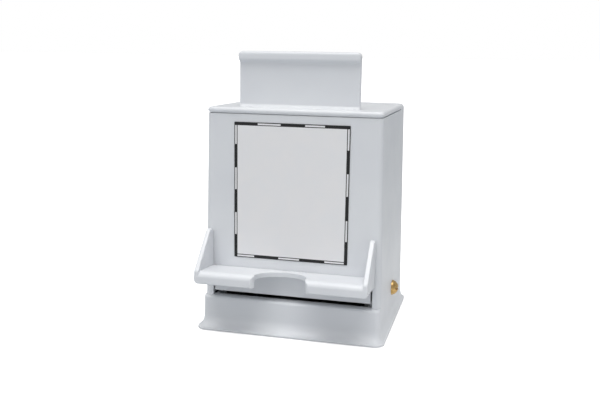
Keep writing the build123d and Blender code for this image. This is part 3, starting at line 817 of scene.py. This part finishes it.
@dataclass
class HousingShell:
    """The white outer moulding: drafted walls, rear strip, skirt with a cove foot, and window."""

    material: bpy.types.Material
    front_y: float
    top_half_width: float = 37.8
    draft: float = 1.0
    wall: float = 2.5
    wall_top: float = 95.0
    corner: float = 2.2
    rim_low: float = 0.2
    rim_edge: float = 0.25
    cove_top: float = 6.0
    cove_edge: float = 0.9
    cove_side: float = 2.2
    cove_front: float = 3.9
    cove_rear: float = 2.2
    cove_steps: int = 12
    skirt_step: float = 2.6
    skirt_top: float = 14.75
    skirt_round: float = 1.2
    ledge_lift: float = 1.2
    strip_gap: float = 1.75
    strip_round: float = 1.8
    strip_corner_share: float = 0.4
    round_steps: int = 6
    hollow_corner: float = 0.5
    hollow_lap: float = 4.0
    window_half: float = 35.5
    window_top: float = 28.0
    window_start: float = 0.8
    lug_half: float = 2.5
    lug_lap: float = 0.6
    lug_rise: float = 0.8
    boss_radius: float = 2.9
    boss_reach: float = 0.3
    pin_radius: float = 0.6
    pin_half: float = 30.0
    screw_radius: float = 1.72
    screw_sides: int = 32
    gland_radius: float = 5.0
    eased: float = 0.22
    rear_y: float = field(init=False)
    lid_bottom: float = field(init=False)
    hinge: np.ndarray = field(init=False)
    screw: np.ndarray = field(init=False)

    def __post_init__(self) -> None:
        """Reads the rear wall, the lid, the hinge and the side screws from the CAD nodes."""
        self.rear_y = span("housing_shell")[1][1] - self.cove_rear
        self.lid_bottom = span("lid")[0][2]
        self.hinge = hinge_point()
        self.screw = middle("side_screws")

    @property
    def strip_top(self) -> float:
        """Height of the rear strip, level with the closed lid."""
        return self.lid_bottom + LID_THICKNESS

    @property
    def strip_y(self) -> float:
        """The rear strip's front face."""
        return self.hinge[1] + self.strip_gap

    def half_width(self, height: float) -> float:
        """Half the outer width at a height, from the draft of the sides."""
        return self.top_half_width + (self.wall_top - height) * math.tan(math.radians(self.draft))

    def outer(self) -> Piece:
        """The solid block that the shell is cut from.

        Row i is the rounded plan at height z(i), spread outwards by the cove's share s(i):
        s = 1 - cos a and z = cove_top - depth sin a, with a from 90 to 0 degrees. Above it the
        front steps back over a round edge, and the top closes over a quarter circle. The row
        of the ledge is lifted at the rear, where it would lie on the row below it.

        Returns:
            The block, in millimetres.
        """
        turn = np.linspace(np.pi / 2, 0, self.cove_steps + 1)
        ease = np.linspace(0, np.pi / 2, self.round_steps + 1)
        depth = self.cove_top - self.rim_low - self.cove_edge
        bend = self.skirt_top - self.skirt_round
        height = np.concatenate(
            [
                [self.rim_low, self.rim_low + self.rim_edge],
                self.cove_top - depth * np.sin(turn),
                [bend],
                bend + self.skirt_round * np.sin(ease[1:]),
                [self.skirt_top],
                self.strip_top - self.strip_round + self.strip_round * np.sin(ease),
            ]
        )
        ledge = height.size - ease.size - 1
        cove, step, inset = np.zeros((3, height.size))
        cove[: 2 + turn.size] = [1 - self.rim_edge / self.cove_front, 1.0, *(1 - np.cos(turn))]
        step[:ledge] = self.skirt_step
        step[ledge - self.round_steps : ledge] -= self.skirt_round * (1 - np.cos(ease[1:]))
        inset[-ease.size :] = self.strip_round * (1 - np.cos(ease))
        rows = []
        for k, z in enumerate(height):
            corner = self.corner + self.cove_side * cove[k] + self.strip_corner_share * inset[k]
            plan = round_plan(
                self.half_width(z) + self.cove_side * cove[k] - inset[k],
                self.front_y - step[k] - self.cove_front * cove[k] + inset[k],
                self.rear_y + self.cove_rear * cove[k] - inset[k],
                corner,
                corner,
            )
            lifted = (k == ledge) & (plan[:, 1] > 0)
            rows.append(at_level(plan, Axis.Z, np.where(lifted, z + self.ledge_lift, z)))
        return solid("housing_shell_skin", rows)

    def hollow(self, y_low: float, y_high: float, z_high: float, ease: float = 0.0) -> Piece:
        """The drafted hollow from below the foot to a height, its sides a wall inside.

        Args:
            y_low: front face.
            y_high: rear face.
            z_high: height of its roof.
            ease: how much further inside its sides are.

        Returns:
            The tool, in millimetres.
        """
        rows = [
            at_level(
                round_plan(
                    self.half_width(z) - self.wall - ease,
                    y_low,
                    y_high,
                    self.hollow_corner,
                    self.hollow_corner,
                    steps=3,
                ),
                Axis.Z,
                z,
            )
            for z in (-PAST, z_high)
        ]
        return solid("hollow", rows)

    def lugs_and_bosses(self) -> list[Piece]:
        """The two hinge lugs on the strip and the two bosses of the side screws.

        Returns:
            The pieces to add to the shell.
        """
        hinge, screw = self.hinge, self.screw
        pieces = []
        for side in (-1, 1):
            x0, x1 = side * LUG_X - self.lug_half, side * LUG_X + self.lug_half
            pieces.append(rod("lug", LID_THICKNESS / 2, Axis.X, x0, x1, (hinge[1], hinge[2])))
            root_high = (x1, self.strip_y + self.lug_lap, hinge[2] + self.lug_rise)
            pieces.append(box("lug_root", (x0, hinge[1], self.lid_bottom), root_high))
            inside = side * (self.half_width(self.wall_top) - self.wall - self.boss_reach)
            outside = side * (self.half_width(screw[2]) - self.wall / 2)
            ends = sorted((inside, outside))
            pieces.append(rod("boss", self.boss_radius, Axis.X, *ends, (screw[1], screw[2])))
        return pieces

    def build(self) -> Piece:
        """Cuts the block to the shell and dresses it.

        Returns:
            The finished piece.
        """
        inner_front, inner_rear = self.front_y + self.wall, self.rear_y - self.wall
        skirt_front = self.front_y - self.skirt_step + self.wall
        shell = self.outer()
        shape(
            shell,
            Cut.REMOVE,
            [
                box("over_walls", (-FAR, -FAR, self.wall_top), (FAR, self.strip_y, 2 * FAR)),
                self.hollow(inner_front, inner_rear, self.strip_top - self.wall),
                self.hollow(
                    skirt_front, inner_front + self.hollow_lap, self.skirt_top - self.wall, 2 * SKIN
                ),
                box(
                    "window",
                    (-self.window_half, self.front_y - self.window_start, self.skirt_top),
                    (self.window_half, inner_front + PAST, self.window_top),
                ),
            ],
        )
        shape(shell, Cut.ADD, self.lugs_and_bosses())
        pin, pin_at, screw_at = self.pin_half, self.hinge[1:], self.screw[1:]
        gland_at = middle("cord_gland")[[0, 2]]
        rear_low, rear_high = inner_rear - PAST, self.rear_y + PAST
        bores = [
            rod("pin_bore", self.pin_radius, Axis.X, -pin, pin, pin_at, BORE_SIDES),
            rod("screw_hole", self.screw_radius, Axis.X, -FAR, FAR, screw_at, self.screw_sides),
            rod("gland_hole", self.gland_radius, Axis.Y, rear_low, rear_high, gland_at),
        ]
        shape(shell, Cut.REMOVE, bores)
        finish_mesh(shell, self.material, self.eased, segments=2)
        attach(shell, Body.CASE.value)
        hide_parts("housing_shell")
        return shell


@dataclass
class Lid:
    """The lid: a flat panel with rolled edges, an upright tab with a lip, and hinge notches."""

    material: bpy.types.Material
    corner: float = 2.2
    rear_corner: float = 0.15
    corner_steps: int = 8
    top_roll: float = 1.3
    under_roll: float = 1.0
    roll_steps: int = 16
    tab_half: float = 26.5
    tab_thickness: float = 2.2
    tab_setback: float = 9.6
    tab_corner: float = 2.2
    tab_side_round: float = 0.95
    tab_top_round: float = 0.9
    tab_least_half: float = 0.05
    tab_steps: int = 8
    lip_height: float = 4.6
    lip_reach: float = 1.8
    lip_slope: float = 1.1
    lip_inner_round: float = 1.2
    lip_low_round: float = 1.0
    lip_top_round: float = 1.3
    root: float = 1.0
    root_depth: float = 1.2
    notch_half: float = 2.9
    notch_gap: float = 0.4
    notch_past: float = 3.0
    notch_depth: float = 4.0
    bore_radius: float = 0.65
    bore_past: float = 0.5
    eased: float = 0.25
    low: np.ndarray = field(init=False)
    high: np.ndarray = field(init=False)
    hinge: np.ndarray = field(init=False)

    def __post_init__(self) -> None:
        """Reads the lid's box and the hinge from the CAD nodes."""
        self.low, self.high = span("lid")
        self.hinge = hinge_point()

    def panel(self) -> Piece:
        """The panel with rolled edges.

        Row a, from -90 to 90 degrees, lies at z = middle + half thickness sin a. The rear edge
        is the hinge axis plus half thickness cos a, and the other edges come in by
        roll (1 - cos a), with one roll above the middle and a smaller one below.

        Returns:
            The panel, in millimetres.
        """
        turn = np.linspace(-np.pi / 2, np.pi / 2, self.roll_steps + 1)
        half = LID_THICKNESS / 2
        inset = np.where(turn > 0, self.top_roll, self.under_roll) * (1 - np.cos(turn))
        rows = []
        for a, e in zip(turn, inset):
            plan = round_plan(
                self.high[0] - e,
                self.low[1] + e,
                self.hinge[1] + half * math.cos(a),
                self.corner,
                self.rear_corner,
                self.corner_steps,
            )
            rows.append(at_level(plan, Axis.Z, self.hinge[2] + half * math.sin(a)))
        return solid("lid_skin", rows)

    def tab(self) -> Piece:
        """The upright tab, its lip and its eased root, carried along X.

        A section is the profile with its height held under top - r (1 - cos t) at
        x = half - r + r sin t, where r is the corner's radius. Within the side round s of the
        end its faces come in by s - sqrt(s^2 - (s - e)^2), where e is the distance to the end.

        Returns:
            The tab, in millimetres.
        """
        front = self.low[1] + self.tab_setback
        back = front + self.tab_thickness
        centre = (front + back) / 2
        top = self.high[2]
        surface = self.low[2] + LID_THICKNESS
        lip_y, lip_low = front - self.lip_reach, top - self.lip_height
        profile = round_outline(
            [
                (front - self.root, surface - self.root_depth, 0),
                (front - self.root, surface - SKIN, 0),
                (front, surface + self.root, self.root),
                (front, lip_low, self.lip_inner_round),
                (lip_y, lip_low + self.lip_slope, self.lip_low_round),
                (lip_y, top, self.lip_top_round),
                (back, top, self.tab_top_round),
                (back, surface + self.root, self.root),
                (back + self.root, surface - SKIN, 0),
                (back + self.root, surface - self.root_depth, 0),
            ],
            steps=5,
        )
        outline = profile if turns_left(profile) else profile[::-1]
        turn = np.linspace(0, np.pi / 2, self.tab_steps + 1)
        across = self.tab_half - self.tab_corner + self.tab_corner * np.sin(turn)
        drop = self.tab_corner * (1 - np.cos(turn))
        x = np.concatenate([-across[::-1], across])
        ceiling = top - np.concatenate([drop[::-1], drop])
        short = np.clip(self.tab_side_round - (self.tab_half - np.abs(x)), 0, None)
        round_left = np.sqrt(np.clip(self.tab_side_round**2 - short**2, 0, None))
        drawn_in = self.tab_side_round - round_left
        depth = outline[:, 0] - centre
        rows = []
        for at, roof, inwards in zip(x, ceiling, drawn_in):
            thinned = np.sign(depth) * np.maximum(np.abs(depth) - inwards, self.tab_least_half)
            section = np.column_stack([centre + thinned, np.minimum(outline[:, 1], roof)])
            rows.append(at_level(section, Axis.X, at))
        return solid("tab", rows)

    def build(self) -> Piece:
        """Joins panel and tab, cuts the hinge notches and dresses the lid.

        Returns:
            The finished piece.
        """
        hinge = self.hinge
        lid = self.panel()
        shape(lid, Cut.ADD, [self.tab()])
        reach = LID_THICKNESS / 2 + self.notch_gap
        notch_y = hinge[1] - reach, hinge[1] + reach + self.notch_past
        notch_z = hinge[2] - self.notch_depth, hinge[2] + self.notch_depth
        notches = [
            box(
                "notch",
                (side * LUG_X - self.notch_half, notch_y[0], notch_z[0]),
                (side * LUG_X + self.notch_half, notch_y[1], notch_z[1]),
            )
            for side in (-1, 1)
        ]
        bore_end = span("hinge_pin")[1][0] + self.bore_past
        bore = rod("bore", self.bore_radius, Axis.X, -FAR, bore_end, hinge[1:], BORE_SIDES)
        shape(lid, Cut.REMOVE, [*notches, bore])
        finish_mesh(lid, self.material, self.eased, segments=2)
        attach(lid, Body.LID.value)
        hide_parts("lid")
        return lid


@dataclass
class DispensingTray:
    """The pull-out tray: shelf with flange, ears and finger notch, and the pocket behind them."""

    material: bpy.types.Material
    front_y: float
    seat_gap: float = 0.1
    apron_recess: float = 0.3
    shelf_rise: float = 1.8
    shelf_rear_z: float = 28.4
    shelf_thickness: float = 2.0
    shelf_round: float = 2.5
    shelf_rear_round: float = 0.6
    flange_height: float = 5.5
    flange_thickness: float = 2.2
    flange_corner: float = 2.0
    flange_front_round: float = 0.6
    flange_inner_round: float = 0.5
    fold_round: float = 0.8
    arc_steps: int = 8
    ear_thickness: float = 2.0
    ear_edge_round: float = 0.45
    ear_top_length: float = 3.9
    ear_rear_round: float = 2.4
    ear_front_round: float = 1.8
    ear_nose_round: float = 1.8
    ear_low_rounds: tuple[float, float] = (0.5, 0.6)
    ear_setback: float = 0.05
    rim_steps: int = 5
    notch_half: float = 13.2
    notch_depth: float = 13.8
    notch_end: float = 2.4
    notch_start: float = 2.0
    notch_heights: tuple[float, float] = (15.0, 40.0)
    flare_steps: int = 9
    bay_steps: int = 55
    body_half: float = 34.7
    body_top: float = 27.7
    neck_height: float = 1.2
    neck_lap: float = 0.5
    pocket_half: float = 33.0
    pocket_start: float = 1.8
    pocket_end: float = 12.0
    floor: float = 1.6
    end_wall: float = 1.5
    eased: float = 0.35
    low: np.ndarray = field(init=False)
    high: np.ndarray = field(init=False)
    shift: float = field(init=False)

    def __post_init__(self) -> None:
        """Reads the CAD tray's box; its front is worked out about X = 0 and shifted later."""
        self.low, self.high = span("dispensing_tray")
        self.shift = (self.low[0] + self.high[0]) / 2
        self.low[0] -= self.shift
        self.high[0] -= self.shift

    @property
    def rear_y(self) -> float:
        """Where the shelf ends, just in front of the wall."""
        return self.front_y - self.seat_gap

    @property
    def front_top(self) -> float:
        """Height of the shelf at its front."""
        return self.shelf_rear_z + self.shelf_rise

    @property
    def flange_low(self) -> float:
        """Height of the flange's lower edge at the front."""
        return self.front_top - self.flange_height

    @property
    def slope(self) -> float:
        """How much the shelf falls for each millimetre towards the wall."""
        return self.shelf_rise / (self.rear_y - self.low[1])

    def ear(self, outline: np.ndarray, inner_x: float, outer_x: float) -> Piece:
        """One ear with rounded rims.

        Row a, from 0 to 90 degrees and back, is the outline moved inwards by r (1 - cos a)
        along its own normals; it lies r (1 - sin a) inside the nearer face.

        Args:
            outline: profile in Y and Z.
            inner_x: X of the face next to the shelf.
            outer_x: X of the outer face.

        Returns:
            The ear, in millimetres.
        """
        low, high = sorted((inner_x, outer_x))
        turn = np.linspace(0, np.pi / 2, self.rim_steps + 1)
        inset = self.ear_edge_round * (1 - np.cos(turn))
        rim = self.ear_edge_round * (1 - np.sin(turn))
        along = np.roll(outline, -1, 0) - np.roll(outline, 1, 0)
        normal = np.stack([-along[:, 1], along[:, 0]], axis=1)
        normal /= np.linalg.norm(normal, axis=1)[:, None]
        if np.sum(normal * (outline.mean(axis=0) - outline)) < 0:
            normal = -normal
        levels = np.concatenate([low + rim[::-1], high - rim])
        insets = np.concatenate([inset[::-1], inset])
        order = 1 if turns_left(outline) else -1
        rows = [
            at_level(outline + normal * inwards, Axis.X, at)[::order]
            for at, inwards in zip(levels, insets)
        ]
        return solid("ear", rows)

    def shelf(self) -> Piece:
        """The shelf and its flange as one folded profile.

        Returns:
            The folded plate, in millimetres.
        """
        front_y = self.low[1]
        inner_y = front_y + self.flange_thickness
        inner_top = self.front_top - self.shelf_thickness - self.slope * self.flange_thickness
        profile = round_outline(
            [
                (self.rear_y, self.shelf_rear_z, self.shelf_rear_round),
                (front_y, self.front_top, self.shelf_round),
                (front_y, self.flange_low, self.flange_front_round),
                (inner_y, self.flange_low, self.flange_inner_round),
                (inner_y, inner_top, self.fold_round),
                (self.rear_y, self.shelf_rear_z - self.shelf_thickness, 0),
            ],
            self.arc_steps,
        )
        reach = self.high[0] - 2 * SKIN
        return prism("dispensing_tray_skin", profile, Axis.X, -reach, reach)

    def corners(self) -> Piece:
        """The space inside rounded lower corners of flange and ears, which lean with the shelf.

        The outline in X and Z is carried along Y, then sheared: z falls by the shelf's slope
        times the distance behind the front.

        Returns:
            The block to keep, in millimetres.
        """
        half, roof = self.high[0], self.high[2] + self.shelf_rise + PAST
        outline = round_outline(
            [
                (-half, self.flange_low, self.flange_corner),
                (half, self.flange_low, self.flange_corner),
                (half, roof, 0),
                (-half, roof, 0),
            ],
            self.arc_steps,
        )
        corners = prism("corners", outline, Axis.Y, self.low[1] - PAST, self.rear_y + PAST)
        lean = Matrix.Identity(4)
        lean[2][1] = -self.slope
        lean[2][3] = self.slope * self.low[1]
        corners.data.transform(lean)
        return corners

    def notch(self) -> Piece:
        """Plan of the finger notch: a round bay whose mouth flares into the flange's face.

        The bay's radius is r = (w^2 + d^2) / 2d - e for a mouth w wide each way, a depth d and
        end arcs of radius e. The arcs turn about (w, e) and touch the bay's circle about
        (0, d - r), all measured from the face.

        Returns:
            The tool, in millimetres.
        """
        wide, deep, end = self.notch_half, self.notch_depth, self.notch_end
        radius = (wide**2 + deep**2) / (2 * deep) - end
        centre_y = deep - radius
        lean = math.atan2(end - centre_y, wide)
        turn = np.linspace(1.5 * np.pi, np.pi + lean, self.flare_steps + 1)
        flare = np.column_stack([wide + end * np.cos(turn), end * (1 + np.sin(turn))])
        sweep = np.linspace(lean, np.pi - lean, self.bay_steps + 1)[1:-1]
        bay = np.column_stack([radius * np.cos(sweep), centre_y + radius * np.sin(sweep)])
        mouth = np.array([(-wide, -self.notch_start), (wide, -self.notch_start)])
        plan = np.concatenate([mouth, flare, bay, flare[::-1] * (-1, 1)])
        return prism(
            "finger_notch", plan + (self.shift, self.low[1]), Axis.Z, *self.notch_heights
        )

    def ears(self) -> list[Piece]:
        """Both ears, which rise from the flange's lower edge along the wall.

        Returns:
            The left and the right ear.
        """
        nose_y, top = self.low[1] + self.ear_setback, self.high[2]
        base = self.flange_low + 2 * SKIN
        rear_low, front_low = self.ear_low_rounds
        profile = round_outline(
            [
                (self.rear_y, base - self.shelf_rise, rear_low),
                (self.rear_y, top, self.ear_rear_round),
                (self.rear_y - self.ear_top_length, top, self.ear_front_round),
                (nose_y, self.front_top, self.ear_nose_round),
                (nose_y, base, front_low),
            ],
            self.arc_steps,
        )
        inner, outer = self.high[0] - self.ear_thickness, self.high[0]
        return [self.ear(profile, side * inner, side * outer) for side in (-1, 1)]

    def build(self) -> Piece:
        """Joins the plates, cuts the notch and the pocket, and dresses the tray.

        Returns:
            The finished piece.
        """
        base, top, end_y = self.low[2], self.body_top, self.high[1]
        apron_y = self.front_y + self.apron_recess
        pocket_y = self.front_y + self.pocket_end
        neck_half, neck_y = self.body_half - SKIN, self.rear_y - self.neck_lap
        tray = self.shelf()
        shape(tray, Cut.ADD, self.ears())
        shape(tray, Cut.KEEP, [self.corners()])
        tray.data.transform(Matrix.Translation((self.shift, 0, 0)))
        body = [
            box("body", (-self.body_half, apron_y, base), (self.body_half, end_y, top)),
            box(
                "neck",
                (-neck_half, neck_y, top - self.neck_height),
                (neck_half, apron_y + PAST, top - SKIN),
            ),
        ]
        shape(tray, Cut.ADD, body)
        hollows = [
            self.notch(),
            box(
                "pocket",
                (-self.pocket_half, self.front_y + self.pocket_start, base + self.floor),
                (self.pocket_half, pocket_y, top + PAST),
            ),
            box(
                "under_deck",
                (-self.pocket_half, pocket_y + self.end_wall, base - PAST),
                (self.pocket_half, end_y - self.end_wall, top - self.floor),
            ),
        ]
        shape(tray, Cut.REMOVE, hollows)
        finish_mesh(tray, self.material, self.eased, segments=3)
        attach(tray, Body.TRAY.value)
        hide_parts("dispensing_tray")
        return tray


@dataclass
class Studio:
    """The pale floor, the soft lights and the camera at the photograph's angle."""

    front_y: float
    azimuth: float = 14.35
    elevation: float = 10.51
    roll: float = 0.89
    camera_x: float = 83.6
    camera_distance: float = 313.1
    camera_z: float = 119.6
    focal_pixels: float = 780.0
    image_width: float = 600.0
    sensor: float = 36.0
    nearest: float = 0.01
    farthest: float = 50.0
    room: float = 0.45
    room_colour: Vec3 = (0.96, 0.98, 1.0)
    key: float = 0.64
    key_towards: Vec3 = (0.03, -0.28, 1.0)
    key_spread: float = 45.0
    front: float = 0.1
    front_towards: Vec3 = (-0.35, -1.0, 0.45)
    front_spread: float = 35.0
    bounce: str = "BEC1C4"
    card: str = "ECEDEE"
    card_middle: float = 62.0
    card_edges: tuple[float, float] = (18.0, 30.0)
    floor_lift: float = 0.45
    floor_reach: float = 40.0

    def camera(self) -> None:
        """A camera looking along azimuth and elevation, rolled about its own axis."""
        azimuth, elevation, roll = (
            math.radians(angle) for angle in (self.azimuth, self.elevation, self.roll)
        )
        flat = math.cos(elevation)
        ahead = Vector(
            (-math.sin(azimuth) * flat, math.cos(azimuth) * flat, -math.sin(elevation))
        )
        level = Vector((math.cos(azimuth), math.sin(azimuth), 0))
        upright = level.cross(ahead)
        right = level * math.cos(roll) + upright * math.sin(roll)
        up = upright * math.cos(roll) - level * math.sin(roll)
        data = bpy.data.cameras.new("photo_angle")
        data.sensor_width = self.sensor
        data.lens = self.focal_pixels / self.image_width * self.sensor
        data.clip_start = self.nearest
        data.clip_end = self.farthest
        camera = bpy.data.objects.new("photo_angle", data)
        turned = Matrix((right, up, -ahead)).transposed().to_4x4()
        stand = Vector((self.camera_x, self.front_y - self.camera_distance, self.camera_z))
        turned.translation = stand * MM
        camera.matrix_world = turned
        bpy.context.scene.collection.objects.link(camera)
        bpy.context.scene.camera = camera

    def sun(self, name: str, towards: Vec3, spread: float, strength: float, colour: str) -> None:
        """A broad soft light from one side of the sky.

        Args:
            name: name of the light.
            towards: direction from the object to the light.
            spread: angle that it fills, in degrees.
            strength: how white it makes a white face square to it.
            colour: six hex digits.
        """
        data = bpy.data.lights.new(name, "SUN")
        data.angle = math.radians(spread)
        data.energy = strength * math.pi
        data.color = linear(colour)[:3]
        light = bpy.data.objects.new(name, data)
        light.rotation_mode = "QUATERNION"
        light.rotation_quaternion = Vector(towards).to_track_quat("Z", "Y")
        bpy.context.scene.collection.objects.link(light)

    def floor(self) -> None:
        """A wide, flat, pale floor: the grid of X and Y at height nought.

        Only the camera sees it pale. The object gets the darker bounce from it, and a bright
        card's worth from a strip on its right.
        """
        reach = self.floor_reach
        plan = np.array([(-reach, -reach), (reach, -reach), (reach, reach), (-reach, reach)])
        mesh = bpy.data.meshes.new("floor")
        mesh.from_pydata(at_level(plan, Axis.Z, 0.0).tolist(), [], [(0, 1, 2, 3)])
        floor = bpy.data.objects.new("floor", mesh)
        bpy.context.scene.collection.objects.link(floor)
        material, tree, shader = new_material("pale_floor")
        pale = tint(tree, noise(tree, place(tree), size=3.0), 1.0, "FDFDFD", "FAFAFB")
        seen = add_node(tree, "ShaderNodeLightPath").outputs["Is Camera Ray"]
        across = add_node(tree, "ShaderNodeSeparateXYZ", {0: place(tree)}).outputs[0]
        off = calc(tree, "ABSOLUTE", calc(tree, "SUBTRACT", across, self.card_middle * MM))
        on_card = between(tree, off, 1.0, 0.0, *(edge * MM for edge in self.card_edges))
        sent = mix(tree, on_card, linear(self.bounce), linear(self.card))
        sockets = {
            "Base Color": mix(tree, seen, sent, pale),
            "Emission Strength": calc(tree, "MULTIPLY", seen, self.floor_lift),
            "Emission Color": linear("FFFFFF"),
            "Roughness": 0.9,
            "Specular IOR Level": 0.1,
        }
        fill(tree, shader, sockets)
        mesh.materials.append(material)

    def sky(self) -> None:
        """An even surrounding that lights the object like a light tent, and a white backdrop."""
        world = bpy.data.worlds.new("white_room")
        world.use_nodes = True
        tree = world.node_tree
        tree.nodes.clear()
        seen = add_node(tree, "ShaderNodeLightPath").outputs["Is Camera Ray"]
        room, backdrop = (
            add_node(tree, "ShaderNodeBackground", {"Color": (*colour, 1), "Strength": strength})
            for colour, strength in ((self.room_colour, self.room), ((1, 1, 1), 1.0))
        )
        sides = {0: seen, 1: room.outputs[0], 2: backdrop.outputs[0]}
        both = add_node(tree, "ShaderNodeMixShader", sides)
        add_node(tree, "ShaderNodeOutputWorld", {"Surface": both.outputs[0]})
        bpy.context.scene.world = world

    def build(self) -> None:
        """Sets up floor, lights and camera."""
        self.floor()
        self.sky()
        self.sun("key", self.key_towards, self.key_spread, self.key, "FFFEFC")
        self.sun("front", self.front_towards, self.front_spread, self.front, "FFFFFF")
        self.camera()
        bpy.context.scene.view_settings.view_transform = "Standard"


@dataclass
class CarriedNodes:
    """The CAD nodes that are shown as they are, each with its own finish."""

    def finishes(self) -> dict[Finish, tuple[str, ...]]:
        """The finishes and the nodes that have them.

        Returns:
            Finish to node names.
        """
        screw, lamp = tuple(middle("side_screws")), tuple(middle("lamp_glass"))
        return {
            PrintedFilm("printed_label_film", "EAE9EA", "0B0B0D"): ("label_plate",),
            TurnedMetal("turned_brass", "E6C283", "A57A3A", 0.2, (0, *screw[1:])): ("side_screws",),
            TurnedMetal("drawn_brass", "C9A35A", "93672E", 0.25, lamp): ("socket_contact",),
            TurnedMetal("spun_brass", "CBA762", "8F6A33", 0.2, lamp): ("lamp_cap",),
            TurnedMetal("bright_steel_wire", "C2C5C8", "989BA0", 0.2, screw): ("hinge_pin",),
            TurnedMetal("nickel_wire", "A9A6A0", "7B7872", 0.3, lamp): ("filament_mount",),
            TurnedMetal("zinc_plated_steel", "B8BCC0", "8E9296", 0.3): (
                "chassis_screws",
                "socket_screws",
                "stop_screws",
                "base_screws",
                "reflector_screw",
            ),
            RolledSheet("mill_finish_cheek_left", "C8CACD", 0.38, Axis.Y): ("cheek_left",),
            RolledSheet("mill_finish_cheek_right", "C8CACD", 0.38, Axis.Y): ("cheek_right",),
            RolledSheet("mill_finish_aluminium", "C9CBCE", 0.36): (
                "warming_plate",
                "hopper_back",
                "drawer_bed",
            ),
            RolledSheet("drawn_aluminium_bar", "BFC2C6", 0.32): ("cross_bar",),
            RolledSheet("bright_rolled_aluminium", "E2E3E5", 0.16): ("reflector",),
            GrainedPolymer("black_phenolic", "0F0E0E", "231F1C", 0.32, 0.7, 0.01): ("lamp_socket",),
            GrainedPolymer("soft_rubber", "1A1A1B", "3A3937", 0.75, 0.6, 0.03): ("rubber_feet",),
            GrainedPolymer("black_moulded_nylon", "141416", "2C2C2E", 0.5): (
                "cord_gland",
                "gland_nut",
            ),
            BlownGlass("clear_lamp_glass", "F4F6F5"): ("lamp_glass",),
            MouldedPlastic("grey_matte_plastic", "9A9C9F", "919396", 0.5, 0.6): ("base_plate",),
        }

    def build(self) -> None:
        """Gives each carried node its material."""
        for finish, nodes in self.finishes().items():
            material = finish.make()
            for node in nodes:
                mesh = frame["nodes"][node].data
                mesh.materials.clear()
                mesh.materials.append(material)
                log.info("carried %s as %s", node, material.name)


def main() -> None:
    """Builds the warmer and the studio."""
    logging.basicConfig(level=logging.INFO, format="%(name)s: %(message)s")
    white = MouldedPlastic("white_moulded_abs", "E2E4E7", "DEE0E4", translucence=0.5).make()
    front_y = float(span("label_plate")[1][1])
    for part in (HousingShell(white, front_y), Lid(white), DispensingTray(white, front_y)):
        piece = part.build()
        log.info("built %s, %d faces", piece.name, len(piece.data.polygons))
    CarriedNodes().build()
    Studio(front_y).build()


if __name__ == "__main__":
    main()
